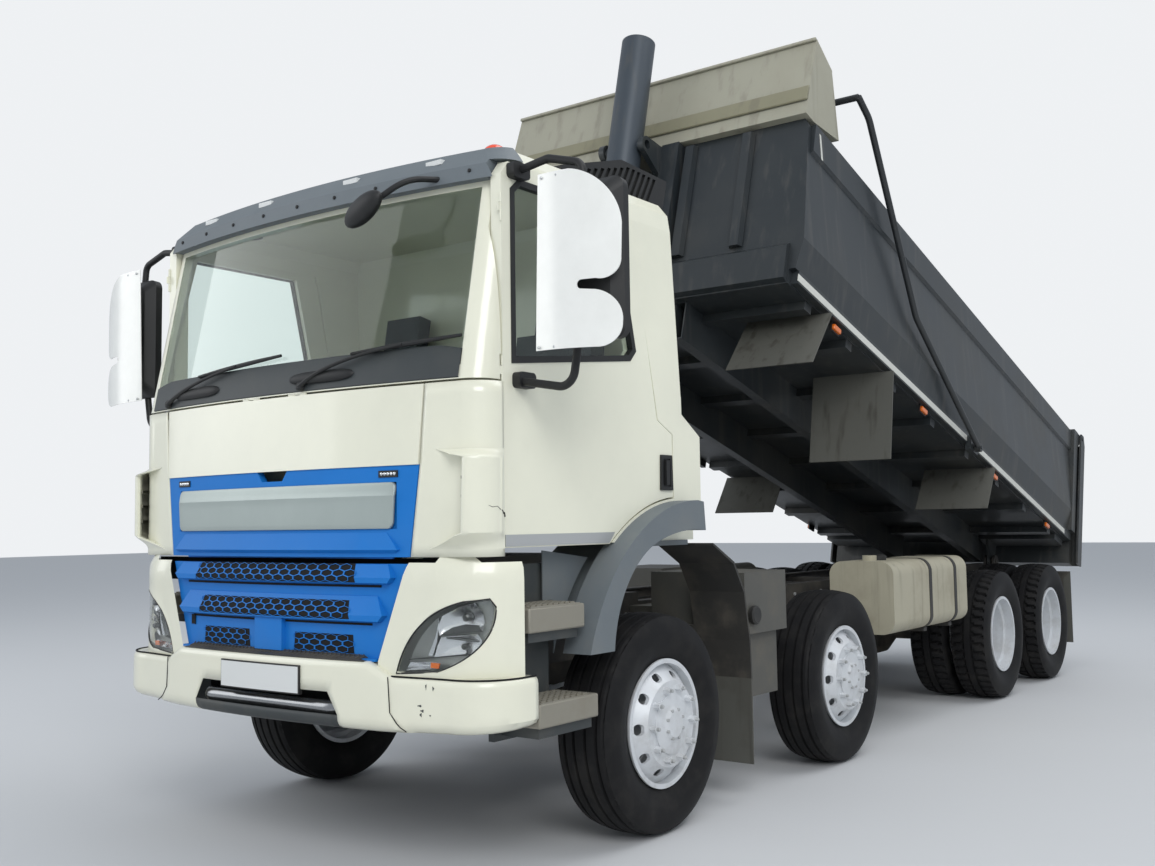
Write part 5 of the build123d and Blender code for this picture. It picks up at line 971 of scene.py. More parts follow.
def smooth_step(low: float, high: float, value: Array) -> Array:
    """Goes from zero at low to one at high, level at both ends."""
    t = np.clip((value - low) / (high - low), 0.0, 1.0)
    return t * t * (3 - 2 * t)


@dataclass(frozen=True)
class Plan:
    """A cab part's plan: a bowed front, an arc at the corner, then straight back.

    A run is the distance along the plan from the truck's middle.
    """

    nose: float
    half: float
    corner: float

    def place(self, run: Array, up: Array, inset: Array | float) -> Array:
        """Points on the plan, moved inward.

        Args:
            run: distance along the plan, less than zero on the right.
            up: height of each point.
            inset: how far each point lies inside the plan.

        Returns:
            The points in the truck's frame.
        """
        run, up, inset = np.broadcast_arrays(*(np.asarray(part, float) for part in (run, up, inset)))
        bend = self.half - self.corner
        front = self.nose - bow_drop(bend)
        far = np.abs(run)
        turn = np.clip((far - bend) / self.corner, 0.0, 0.5 * pi)
        back = np.maximum(far - bend - 0.5 * pi * self.corner, 0.0)
        on_front = far < bend
        left = np.where(on_front, far, bend + self.corner * np.sin(turn))
        ahead = np.where(on_front, self.nose - bow_drop(far),
                         front - self.corner + self.corner * np.cos(turn) - back)
        lean = np.where(on_front, far / BOW_RADIUS, turn)
        ahead = ahead - inset * np.cos(lean)
        left = left - inset * np.sin(lean)
        return np.stack([AXLE_1 + ahead, np.where(run < 0, -left, left), up], -1)

    def run_at(self, left: Array) -> Array:
        """The run at a distance left of the middle."""
        left = np.asarray(left, float)
        bend = self.half - self.corner
        turn = np.arcsin(np.clip((left - bend) / self.corner, 0.0, 1.0))
        return np.where(left < bend, left, bend + self.corner * turn)


@dataclass
class CornerPanels(Trim):
    """Corner panels with their air scoops: a skin that stands off the corner and opens toward the middle."""

    plan: Plan = Plan(HATCH_NOSE, 1.166, 0.13)
    low: float = 1.322
    top: float = 2.031
    # heights, and the run of the hatch's seam and of the scoop's lip at each
    seam: Pairs = ((1.322, 1.7, 2.031), (0.813, 0.861, 0.889))
    lip: Pairs = ((1.354, 1.380, 1.418, 1.720, 1.742, 1.757), (0.905, 0.990, 1.090, 1.096, 1.010, 0.945))
    stand: float = 0.066
    rear: float = 1.254
    fade: float = 1.7
    # how far along from the lip its rolled edge goes, and how deep
    roll: Pairs = (
        (-0.006, 0.003), (-0.010, 0.010), (-0.008, 0.022), (0.0, 0.030), (0.05, 0.033), (0.12, 0.036),
    )
    slat_heights: tuple[float, ...] = (1.49, 1.565, 1.64)
    slat_run: tuple[float, float] = (1.075, 1.185)
    slat_depth: float = 0.034
    slat_half: float = 0.006
    crack_start: float = 1.093
    # share of the way to the door, height and half width of the crack's points
    crack_line: Pairs = (
        (0.42, 1.527, 0.0006), (0.50, 1.520, 0.0012), (0.62, 1.523, 0.0010), (0.70, 1.512, 0.0016),
        (0.80, 1.506, 0.0022), (0.86, 1.494, 0.0034), (0.93, 1.498, 0.003), (0.985, 1.482, 0.0045),
    )

    def panel(self) -> Surface:
        """The panel's own skin, from the hatch's seam round to the door."""
        up = np.linspace(self.low, self.top, 15)[:, None]
        share = np.linspace(0, 1, 26)[None]
        start = np.interp(up, *self.seam)
        run = start + (self.rear - start) * share
        return grid(self.plan.place(run, up, 0.0))

    def scoop_rows(self) -> tuple[Array, Array, Array]:
        """The scoop's rows.

        Returns:
            Heights, where the lip is, and how far it stands off at each.
        """
        parts = [np.linspace(1.354, 1.43, 8), np.linspace(1.45, 1.70, 10), np.linspace(1.712, 1.757, 8)]
        up = np.concatenate(parts)
        start = np.interp(up, *self.lip)
        rise = smooth_step(1.350, 1.425, up) * (1 - smooth_step(1.722, 1.760, up))
        return up[:, None], start[:, None], np.maximum(self.stand * rise, 0.0006)[:, None]

    def scoop(self) -> Surface:
        """The scoop: its stand-off fades toward the door, and its lip is rolled in."""
        up, start, stand = self.scoop_rows()
        share = np.linspace(1, 0, 26)[None]
        run = start + (self.rear - start) * share
        outer = self.plan.place(run, up, -stand * (1 - share**self.fade))
        rolled = []
        for ahead, sink in self.roll:
            kept = np.maximum(stand - sink, 0.0004)
            rolled.append(self.plan.place(start + ahead, up, -kept))
        return grid(np.concatenate([outer] + rolled, axis=1))

    def slats(self) -> Surface:
        """Slats across the scoop's mouth."""
        parts = []
        for up in self.slat_heights:
            run = np.linspace(*self.slat_run, 8)
            near = self.plan.place(run, up, -0.001)
            far = self.plan.place(run, up, -self.slat_depth)
            drop = np.array([0, 0, self.slat_half])
            parts.append(grid(np.stack([near - drop, far - drop, far + drop, near + drop]), wrap_rows=True))
        return combined(parts)

    def mouth(self) -> Surface:
        """The floor of the mouth, dressed matt black as painted shade under the scoop."""
        up = np.linspace(1.425, 1.715, 4)[:, None]
        return grid(self.plan.place(np.linspace(1.085, 1.215, 6)[None], up, -0.0012))

    def crack(self) -> Surface:
        """A crack in the left scoop, with a chip broken out at its end."""
        share, up, width = np.array(self.crack_line).T
        run = self.crack_start + (self.rear - self.crack_start) * share
        stand = self.stand * (1 - share**self.fade) + 0.0004
        return tube(self.plan.place(run, up, -stand), width, 6)

    def build(self) -> None:
        """Builds both corners."""
        panels = self.panel().both_sides()
        self.put("corner_skins", panels, "cab", "cab", "cab", wall=0.004, replaces=("corner_panels",))
        self.put("corner_scoops", self.scoop().both_sides(), "cab", "cab", "cab")
        self.put("scoop_slats", self.slats().both_sides(), "cab", "cab", "sheet")
        # The mouth's floor is white skin in the scoop's shadow; its matt black is painted shade.
        self.put("scoop_mouth_shade", self.mouth().both_sides(), "cab", "plastic", "black")
        self.put("scoop_crack", self.crack(), "cab", "cab", "void")


@dataclass
class Bumper(Trim):
    """The bumper and the lamp panels over its ends, as rounded skins in place of the plain ones."""

    plan: Plan = Plan(1.385, 1.252, 0.23)
    lamp_plan: Plan = Plan(LAMP_NOSE, LAMP_HALF, LAMP_CORNER)
    reach: float = 1.46
    # runs, and the height of the top and bottom at each
    top_line: Pairs = ((0.0, 0.635, 0.745, 1.5), (0.897, 0.897, 0.842, 0.842))
    low_line: Pairs = ((0.0, 0.7, 1.1, 1.5), (0.612, 0.614, 0.626, 0.642))
    # heights, and the run of the seam at each
    seam_line: Pairs = ((0.60, 0.65, 0.70, 0.845), (0.90, 0.80, 0.757, 0.747))
    step: float = 0.013
    step_fade: tuple[float, float] = (0.9, 1.25)
    mouth_half: float = 0.455
    mouth_low: float = 0.672
    mouth_top: float = 0.765
    mouth_slant: float = 0.62
    # run and height of the lamp panel's corners, up to its outer end
    panel_edge: Pairs = (
        (0.664, 0.838), (0.664, 0.897), (0.812, 1.300), (0.945, 1.300), (0.972, 1.336), (1.105, 1.336),
        (1.150, 1.300), (1.329, 1.300), (1.329, 0.838),
    )
    # share of the way from lamp to edge, and inset, of the panel's rings
    panel_rings: Pairs = (
        (0.0, 0.030), (0.0, 0.004), (0.02, 0.0), (0.07, -0.001), (0.13, 0.001), (0.3, 0.0), (0.5, 0.0),
        (0.75, 0.0), (1.0, 0.0),
    )
    fold_up: float = 1.268
    tread_half: float = 0.615
    tread_ribs: int = 45
    # run, height, half width and half height of each chip
    chips: Pairs = (
        (0.90, 0.735, 0.010, 0.004), (0.912, 0.716, 0.008, 0.005), (0.905, 0.700, 0.005, 0.007),
        (0.93, 0.812, 0.003, 0.010), (0.965, 0.806, 0.004, 0.008), (0.95, 0.70, 0.004, 0.003),
    )

    def columns(self) -> Array:
        """Runs of the grid's columns, with one on each side of the mouth."""
        outer = np.linspace(self.mouth_half, self.reach, 40)[1:]
        half = np.concatenate([np.linspace(0, self.mouth_half, 13), outer])
        return np.concatenate([-half[:0:-1], half])

    def ends_step(self, far: Array) -> Array:
        """How far the bumper's ends lie back from its middle part, fading toward the corner."""
        return self.step * (1 - smooth_step(*self.step_fade, far))

    def skin(self) -> tuple[Array, Array, Array]:
        """The bumper's grid.

        Returns:
            Its points, and the run and height of each before the mouth's sides are slanted.
        """
        run = self.columns()[None]
        far = np.abs(run)
        top = np.interp(far, *self.top_line)
        low = np.interp(far, *self.low_line)
        rows = [(0.16, low + 0.012), (0.075, low + 0.002), (0.035, low + 0.003), (0.012, low + 0.016),
                (0.002, low + 0.036)]
        rows += [(0.0, 0 * low + self.mouth_low)]
        tall = self.mouth_top - self.mouth_low
        rows += [(0.0, self.mouth_low + tall * t + 0 * low) for t in (0.33, 0.67, 1.0)]
        rows += [(0.0, self.mouth_top + (top - 0.03 - self.mouth_top) * t) for t in (0.5, 1.0)]
        rows += [(0.003, top - 0.014), (0.009, top - 0.005), (0.020, top), (0.073, top + 0.002)]
        inset = np.vstack([np.broadcast_to(row[0], far.shape) for row in rows])
        up = np.vstack([row[1] for row in rows])
        run = np.broadcast_to(run, up.shape)
        far = np.abs(run)
        seam = np.interp(up, *self.seam_line)
        dip = smooth_step(0.0, 1.0, (far - seam + 0.012) / 0.024) * self.ends_step(far)
        tent = np.clip(1 - np.abs(far - self.mouth_half) / 0.14, 0, 1)
        rise = 0.715 - np.clip(up, self.mouth_low, self.mouth_top)
        slant = np.sign(run) * tent * self.mouth_slant * rise
        return self.plan.place(run + slant, up, inset + dip), run, up

    def part(self, in_tray: bool) -> Surface:
        """The white skin, or the turned-in tray under its mouth, which is dressed dark as painted shade."""
        points, run, up = self.skin()
        surface = grid(points)
        middle_run, middle_up = (
            0.25 * (p[:-1, :-1] + p[1:, :-1] + p[:-1, 1:] + p[1:, 1:]).ravel() for p in (run, up)
        )
        inside = np.abs(middle_run) < self.mouth_half
        tray = inside & (middle_up < self.mouth_low)
        mouth = inside & (middle_up > self.mouth_low) & (middle_up < self.mouth_top)
        kept = tray if in_tray else ~(tray | mouth)
        return Surface(surface.points, [face for face, keep in zip(surface.faces, kept) if keep])

    def seams(self) -> Surface:
        """Dark seams: down each side of the middle, and along each end's top."""
        up = np.linspace(0.842, 0.63, 16)
        down = self.plan.place(np.interp(up, *self.seam_line), up, 0.0045)
        run = np.linspace(0.75, self.reach, 40)
        along = self.plan.place(run, 0.8425 + 0 * run, 0.012 + self.ends_step(run))
        return (tube(down, 0.0022, 6) + tube(along, 0.004, 6)).both_sides()

    def lamp_panel(self, leaf: Array, rays: int = 72) -> Surface:
        """A lamp panel: rings from the leaf-shaped lamp's edge out to the panel's edge, on its plan.

        Args:
            leaf: the lamp's outline, left and up.
            rays: number of evenly turned rays; the panel's corners add their own.

        Returns:
            The left panel.
        """
        edge = np.array(self.panel_edge)
        hole = np.stack([self.lamp_plan.run_at(leaf[:, 0]), leaf[:, 1]], -1)
        middle = hole.mean(axis=0)
        corner_turn = np.arctan2(*(edge - middle).T[::-1])
        turn = np.sort(np.concatenate([np.linspace(-pi, pi, rays, endpoint=False), corner_turn]))
        bound = self.reach_at(edge, middle, turn)
        inner = self.reach_at(hole, middle, turn)
        ray = np.stack([np.cos(turn), np.sin(turn)], -1)
        rings = []
        for share, inset in self.panel_rings:
            flat = middle + ray * (inner + share * (bound - inner))[:, None]
            fold = 0.5 * np.maximum(flat[:, 1] - self.fold_up, 0.0)
            rings.append(self.lamp_plan.place(flat[:, 0], flat[:, 1], inset + fold))
        return grid(np.array(rings), wrap_columns=True)

    def reach_at(self, outline: Array, middle: Array, turn: Array) -> Array:
        """How far an outline lies from a middle: the nearest edge that each ray crosses.

        Args:
            outline: corners in order.
            middle: where the rays start.
            turn: direction of each ray.

        Returns:
            The reach of each ray.
        """
        start = outline - middle
        side = np.roll(outline, -1, axis=0) - outline
        ray = np.stack([np.cos(turn), np.sin(turn)], -1)
        cross = ray[:, None, 0] * side[None, :, 1] - ray[:, None, 1] * side[None, :, 0]
        cross = np.where(np.abs(cross) < 1e-12, 1e-12, cross)
        distance = (start[None, :, 0] * side[None, :, 1] - start[None, :, 1] * side[None, :, 0]) / cross
        share = (start[None, :, 0] * ray[:, None, 1] - start[None, :, 1] * ray[:, None, 0]) / cross
        valid = (distance > 0) & (share > -1e-6) & (share < 1 + 1e-6)
        return np.where(valid, distance, 9.0).min(axis=1)

    def tread(self) -> Surface:
        """The black tread on the bumper's ledge: a sloped strip with raised ribs."""
        run = np.linspace(-self.tread_half, self.tread_half, 60)[None]
        taper = 0.5 * (1 - np.cos(np.minimum(1.0, (self.tread_half - np.abs(run)) / 0.05) * pi))
        ahead = np.array([0.0, 0.012, 0.05, 0.062])[:, None]
        up = np.array([0.897, 0.903, 0.918, 0.9165])[:, None]
        strip = self.plan.place(run, 0.8975 + (up - 0.8975) * taper, 0.012 + ahead)
        parts = [grid(strip)]
        rib_up = np.array([0.905, 0.9115, 0.9185])
        rib_inset = np.array([0.028, 0.043, 0.058])
        for left in np.linspace(-0.58, 0.58, self.tread_ribs):
            line = self.plan.place(np.array([left, left + 0.008, left - 0.004]), rib_up, rib_inset)
            parts.append(tube(line, 0.003, 5))
        return combined(parts)

    def marks(self) -> Surface:
        """Chips and scuffs on the left end: small uneven patches just proud of the skin."""
        parts = []
        for left, up, wide, tall in self.chips:
            turn = np.linspace(0, 2 * pi, 12, endpoint=False)
            reach = 1 + 0.35 * np.sin(3 * turn + 40 * left) + 0.2 * np.cos(5 * turn + 9 * up)
            run = left + np.outer([1.0, 0.02], wide * reach * np.cos(turn))
            high = up + np.outer([1.0, 0.02], tall * reach * np.sin(turn))
            parts.append(grid(self.plan.place(run, high, self.ends_step(run) - 0.0008), wrap_columns=True))
        return combined(parts)

    def build(self) -> None:
        """Builds the bumper, its tray dark as painted shade, tread and seams, both lamp panels, painted shade
        in its throat, and what closes the gap over it: a blue strip with painted shade behind it.
        """
        self.put("bumper_skin", self.part(False), "chassis", "cab", "cab", wall=0.004, replaces=("bumper",))
        panels = self.lamp_panel(Headlamps(self.wardrobe).outline(28)).both_sides()
        self.put("lamp_panels", panels, "chassis", "cab", "cab")
        # The tray is the white skin's turned-in underside; its dark cowl finish is painted shade.
        self.put("bumper_underside_shade", self.part(True), "chassis", "plastic", "cowl", wall=0.004)
        # A near-black strip behind the low air opening: painted shade.
        self.put("bumper_throat", self.strip(0.5, (0.63, 0.80), (1.285, 1.29)), "chassis", "plastic", "void")
        self.put("bumper_seams", self.seams(), "chassis", "cab", "void")
        self.put("bumper_tread", self.tread(), "chassis", "guard", "guard")
        self.put("bumper_marks", self.marks(), "chassis", "cab", "cowl")
        # A near-black strip behind the gap over the bumper: painted shade.
        self.put("gap_filler", self.strip(1.08, (1.2, 1.312), (1.246, 1.252)), "chassis", "plastic", "void")
        self.put("hatch_drop", self.strip(0.70, (1.314, 1.345), (1.290, 1.300)), "hatch", "grille", "grille")

    def strip(self, half: float, height: tuple[float, float], ahead: tuple[float, float]) -> Surface:
        """A plain bowed strip behind an opening, equally far to both sides."""
        return block((-half, half), height, ahead, View.FRONT).bowed()


@dataclass
class Honeycomb(Trim):
    """Backs dark as painted shade, and thin blue webs, laid over the grille's windows."""

    pitch: float = 0.066
    rise: float = 0.0235
    side_share: float = 0.62
    point_share: float = 1.38
    web: float = 0.10
    # heights of a tier's section and how far it stands out at each
    tiers: Pairs = (
        (0.9, 1.049, 1.050, 1.058, 1.082, 1.160, 1.207, 1.208, 1.216, 1.238, 1.292, 1.30),
        (0.0, 0.0, 0.004, 0.032, 0.034, 0.004, 0.001, 0.004, 0.032, 0.034, 0.008, 0.004),
    )
    # middle, lowest row, cells in a row
    windows: tuple[tuple[float, float, int], ...] = (
        (0.0, 1.2325, 16), (0.0, 1.0795, 15), (-0.33, 0.935, 5), (0.33, 0.935, 5),
    )
    # low, high and half width of the dark line under each tier
    shadow_lines: Pairs = ((1.197, 1.2065, 0.66), (1.039, 1.0485, 0.61))
    nose: float = 1.318
    web_proud: float = 0.0042
    web_foot: float = 0.0006

    def place(self, left: Array, up: Array, proud: float) -> Array:
        """Points on the lower grille's face."""
        ahead = self.nose + np.interp(up, *self.tiers) - bow_drop(left) + proud
        return np.stack([AXLE_1 + ahead, left, up], -1)

    def cell(self, shrink: float) -> Array:
        """A cell's corners: upright sides, points above and below, tiling at no shrink."""
        wide = 0.5 * self.pitch * (1 - shrink)
        side = self.side_share * self.rise / 2 * (1 - 1.2 * shrink)
        point = self.point_share * self.rise / 2 * (1 - 1.2 * shrink)
        corners = [(wide, -side), (wide, side), (0.0, point), (-wide, side), (-wide, -side), (0.0, -point)]
        return np.array(corners)

    def backs(self) -> Surface:
        """The back of each window, dark as painted shade behind the open cells."""
        parts = []
        for middle, low, count in self.windows:
            half = 0.5 * self.pitch * (count + 0.42)
            left = np.linspace(middle - half, middle + half, 24)[None]
            up = (low + np.linspace(-0.65, 2.65, 9) * self.rise)[:, None]
            lean = (left - middle) * (-0.035) * (up - low) / (3 * self.rise)
            parts.append(grid(self.place(left + lean, up + 0 * left, 0.0008)))
        return combined(parts)

    def webs(self) -> Surface:
        """The web: each cell a ring between the tiling cell and a smaller one, with short inner walls."""
        steps = ((0.0, self.web_proud), (self.web, self.web_proud), (self.web, self.web_foot))
        parts = []
        for middle, low, count in self.windows:
            for row in range(3):
                shift = 0.25 * self.pitch * (1 if row % 2 else -1)
                for number in range(count):
                    left = middle + shift + (number - 0.5 * (count - 1)) * self.pitch
                    centre = np.array([left, low + row * self.rise])
                    rings = [self.place(*(self.cell(shrink) + centre).T, proud) for shrink, proud in steps]
                    parts.append(grid(np.array(rings), wrap_columns=True))
        return combined(parts)

    def shadows(self) -> Surface:
        """The painted shadow line under each tier."""
        parts = []
        for low, high, half in self.shadow_lines:
            left = np.linspace(-half, half, 30)[None]
            up = np.array([low, high])[:, None]
            parts.append(grid(self.place(left + 0 * up, up + 0 * left, 0.001)))
        return combined(parts)

    def build(self) -> None:
        """Builds the backs and webs, the painted shadow lines under the tiers and the small slot, whose dark
        is painted shade.
        """
        # The backs' near-black is painted shade in the open cells.
        self.put("comb_backs", self.backs(), "chassis", "grille", "void")
        self.put("comb_webs", self.webs(), "chassis", "grille", "grille", smooth=False)
        self.put("tier_shadows", self.shadows(), "chassis", "grille", "void")
        # A near-black patch in the small slot: painted shade.
        slot = block((-0.625, -0.592), (1.0, 1.045), (1.335, 1.3385), View.FRONT).bowed()
        slot.points[:, 0] -= 0.016
        self.put("grille_slot", slot, "chassis", "grille", "void")


@dataclass
class Headlamps(Trim):
    """Bezels, mirrors, bulbs, turn lamps and clear covers in place of the plain lamp solids."""

    inset: float = 0.004
    depth: float = 0.07
    upper_mirror: Pairs = (
        (0.964, 1.087), (1.033, 1.122), (1.088, 1.140), (1.113, 1.103), (1.119, 1.063), (1.112, 1.026),
        (0.952, 1.010), (0.944, 1.040),
    )
    lower_mirror: Pairs = (
        (0.962, 1.004), (1.097, 1.018), (1.112, 0.990), (1.106, 0.943), (0.928, 0.924), (0.944, 0.970),
    )
    shelf: Pairs = (
        (0.955, 1.010), (1.009, 1.043), (1.059, 1.056), (1.102, 1.051), (1.112, 1.026),
    )
    light_strip: Pairs = (
        (0.955, 1.083), (0.930, 1.000), (0.893, 0.928), (0.916, 0.928), (0.938, 0.985), (0.949, 1.083),
    )
    turn_lamp: Pairs = ((0.79, 0.866), (0.945, 0.878), (0.955, 0.906), (0.815, 0.900))
    amber: Pairs = ((0.921, 0.882), (0.958, 0.880), (0.963, 0.901), (0.923, 0.903))

    def outline(self, count: int = 14) -> Array:
        """The leaf's outline: two arcs as quadratics through their middle points, and a blunt tip.

        Args:
            count: points on each arc.

        Returns:
            Left and up of each point, from the lower inner corner round.
        """
        t = np.linspace(0, 1, count)[:, None]

        def arc(start: tuple, through: tuple, end: tuple) -> Array:
            """A quadratic that passes its middle point at one half."""
            start, through, end = (np.array(p) for p in (start, through, end))
            return start * 2 * (t - 0.5) * (t - 1) + through * 4 * t * (1 - t) + end * 2 * t * (t - 0.5)

        upper = arc((0.758, 0.852), (0.863, 1.036), (1.065, 1.146))
        lower = arc((1.162, 1.123), (1.114, 0.965), (0.962, 0.868))
        return np.vstack([upper, [(1.146, 1.156)], lower])

    def on_skin(self, flat: Array, behind: Array | float) -> Array:
        """Places points, left and up, behind the lamp panel's skin."""
        ahead = lamp_ahead(flat[..., 0]) - behind
        return np.stack([ahead + AXLE_1, flat[..., 0], flat[..., 1]], -1)

    def dish(self, outline: Array, front: float, depth: float, rings: int = 9) -> Surface:
        """A hollow: rings of an outline close on its middle and sink by one less their scale squared.

        Args:
            outline: left and up of each point.
            front: how far its edge lies behind the skin.
            depth: how much deeper its middle is.
            rings: number of rings.

        Returns:
            The open surface.
        """
        edge = np.asarray(outline, float)
        scale = np.linspace(1.0, 0.03, rings)[:, None]
        middle = edge.mean(axis=0)
        flat = middle + (edge - middle)[None] * scale[..., None]
        return grid(self.on_skin(flat, front + depth * (1 - scale**2)), wrap_columns=True)

    def pane(self, outline: Array, front: float, back: float) -> Surface:
        """A flat piece that follows the skin, between two depths."""
        flat = np.asarray(outline, float)
        faces = slab(flat, 0.0, 1.0, View.FRONT).faces
        return Surface(np.vstack([self.on_skin(flat, back), self.on_skin(flat, front)]), faces)

    def house(self) -> Surface:
        """The bezel: walls straight back from the outline, then a shallow floor."""
        edge = self.outline()
        middle = edge.mean(axis=0)
        rim = self.on_skin(middle + (edge - middle) * 0.985, self.inset + 0.004)[None]
        floor = self.dish(middle + (edge - middle) * 0.955, self.depth - 0.014, 0.014)
        return grid(np.concatenate([rim, floor.points.reshape(9, -1, 3)]), wrap_columns=True)

    def bulbs(self) -> Surface:
        """Bulb shields in the mirrors, and the thin lines that part the bezel."""
        parts = []
        for left, up, radius in ((1.052, 1.083, 0.017), (1.045, 0.967, 0.013)):
            centre = [AXLE_1 + float(lamp_ahead(np.array(left))) - 0.062, left, up]
            shield = [(0, radius), (0.03, radius), (0.036, 0.6 * radius)]
            parts.append(turned(shield, centre, [1, 0.12, 0], 18))
        parts.append(self.pane([(0.981, 0.998), (1.096, 0.984), (1.096, 0.988), (0.981, 1.003)], 0.03, 0.045))
        parts.append(self.pane([(0.80, 0.907), (1.104, 0.937), (1.104, 0.941), (0.80, 0.911)], 0.03, 0.05))
        return combined(parts)

    def cover(self) -> Surface:
        """The clear cover, 3 mm thick."""
        edge = self.outline()
        front = self.dish(edge, self.inset, 0.0, 5).points.reshape(5, -1, 3)
        back = self.dish(edge, self.inset + 0.003, 0.0, 5).points.reshape(5, -1, 3)
        return grid(np.concatenate([front[::-1], back]), wrap_columns=True)

    def seal(self) -> Surface:
        """The dark seam round the cover."""
        edge = self.outline(24)
        path = self.on_skin(np.vstack([edge, edge[:1]]), 0.002)
        return tube(path, 0.0035, 6)

    def build(self) -> None:
        """Builds the lamps of both sides."""
        mirrors = self.dish(self.upper_mirror, 0.028, 0.04) + self.dish(self.lower_mirror, 0.026, 0.034)
        for name, surface, slot, finish, replaces in (
            ("lamp_houses", self.house(), "lamp", "bezel", ("headlamps",)),
            ("lamp_mirrors", mirrors, "lamp", "lamp", ()),
            ("lamp_shelves", self.pane(self.shelf, 0.024, 0.03), "lamp", "smoke", ()),
            ("lamp_strips", self.pane(self.light_strip, 0.03, 0.05), "lamp", "lamp", ()),
            ("turn_lamps", self.dish(self.turn_lamp, 0.02, 0.02), "lamp", "lamp", ()),
            ("turn_bulbs", self.pane(self.amber, 0.012, 0.018), "lamp", "amber", ()),
            ("lamp_bulbs", self.bulbs(), "plastic", "smoke", ()),
            ("lamp_seals", self.seal(), "guard", "black", ()),
            ("lamp_covers", self.cover(), "glass", "clear", ()),
        ):
            self.put(name, surface.both_sides(), "chassis", slot, finish, replaces=replaces)


@dataclass
class RoofTrim(Trim):
    """Beacons, the visor's lamps and screws, and the front mirror."""

    beacon_radius: float = 0.055
    beacons: Pairs = ((0.775, 0.86, 3.03), (0.775, -0.86, 3.03))
    lamp_places: tuple[float, ...] = (-0.78, -0.3, 0.3, 0.78)
    visor_nose: float = 1.135
    screw_nose: float = 1.183
    screw_count: int = 9

    def build(self) -> None:
        """Builds every roof piece."""
        lenses, feet = [], []
        for ahead, left, up in self.beacons:
            angle = np.linspace(0, 0.5 * pi, 9)
            dome = [(0.0, self.beacon_radius), (0.05, self.beacon_radius)]
            dome += [(0.05 + 0.045 * sin(a), max(self.beacon_radius * cos(a), 0.002)) for a in angle[1:]]
            lenses.append(turned(dome, [AXLE_1 + ahead, left, up + 0.03], [0, 0, 1], 28))
            foot = [(-0.03, 0.062), (0.03, 0.062), (0.034, 0.056)]
            feet.append(turned(foot, [AXLE_1 + ahead, left, up], [0, 0, 1], 24))
        self.put("beacon_lenses", combined(lenses), "cab", "lamp", "beacon")
        self.put("beacon_feet", combined(feet), "cab", "plastic", "black")
        self.put("visor_lamps", self.visor_lamps(), "cab", "lamp", "plate")
        self.put("front_mirror", self.front_mirror(), "cab", "plastic", "black")
        self.put("visor_screws", self.visor_screws(), "cab", "plastic", "black")

    def visor_lamps(self) -> Surface:
        """Small white marker lamps along the visor's upper edge."""
        parts = []
        for left in self.lamp_places:
            ahead = self.visor_nose - bow_drop(left)
            depth = (ahead - 0.03, ahead + 0.004)
            parts.append(block((left - 0.045, left + 0.045), (3.0, 3.022), depth, View.FRONT))
        return combined(parts)

    def visor_screws(self) -> Surface:
        """Screw heads along the visor."""
        parts = []
        for left in np.linspace(-1.0, 1.0, self.screw_count):
            centre = [AXLE_1 + self.screw_nose - bow_drop(left), left, 2.935]
            parts.append(turned([(0, 0.009), (0.005, 0.008), (0.007, 0.004)], centre, [1, 0, 0.1], 10))
        return combined(parts)

    def front_mirror(self) -> Surface:
        """A wide mirror head ahead of the screen's top, on an arm from the visor."""
        arm = tube(route([(1.05, 0.86, 2.93), (1.27, 0.80, 2.9), (1.33, 0.66, 2.81)], 0.08), 0.013, 10)
        turn = np.linspace(0, 2 * pi, 24, endpoint=False)
        turn, tilt = np.meshgrid(turn, np.linspace(-0.5 * pi, 0.5 * pi, 12))
        along = 0.135 * np.cos(tilt) * np.cos(turn)
        up = 0.06 * np.cos(tilt) * np.sin(turn) + 0.03 * np.cos(turn) * np.cos(tilt)
        thick = 0.045 * np.sin(tilt)
        head = np.stack([AXLE_1 + 1.33 + thick + 0.2 * along, 0.60 + along, 2.79 + up], -1)
        return arm + grid(head, wrap_columns=True)


def grown(outline: Outline, grow: float) -> Array:
    """An outline moved outward: each corner goes along the mean of its two edges' outward normals.

    Args:
        outline: corners in order, turning one way.
        grow: distance; less than zero moves it inward.

    Returns:
        The new corners.
    """
    flat = np.array(outline, float)
    ahead = np.roll(flat, -1, axis=0) - flat
    area = 0.5 * np.sum(flat[:, 0] * np.roll(flat[:, 1], -1) - flat[:, 1] * np.roll(flat[:, 0], -1))
    normal = np.stack([ahead[:, 1], -ahead[:, 0]], -1) * np.sign(area)
    normal /= np.linalg.norm(normal, axis=1, keepdims=True)
    before = np.roll(normal, 1, axis=0)
    corner = normal + before
    corner /= np.sum(corner * normal, axis=1, keepdims=True)
    return flat + grow * corner


def band(outline: Outline, inner: float, outer: float, low: float, high: float,
         view: View) -> Surface:
    """A closed frame that follows an outline.

    Args:
        outline: corners of the line that it follows.
        inner: how far its inner edge stands from the line.
        outer: how far its outer edge stands from the line.
        low: depth of one face.
        high: depth of the other.
        view: how the outline lies on the truck.

    Returns:
        The closed surface.
    """
    loops = [(grown(outline, inner), low), (grown(outline, outer), low),
             (grown(outline, outer), high), (grown(outline, inner), high)]
    points = np.stack([view.place(flat[:, 0], flat[:, 1], depth) for flat, depth in loops])
    return grid(points, wrap_rows=True, wrap_columns=True)


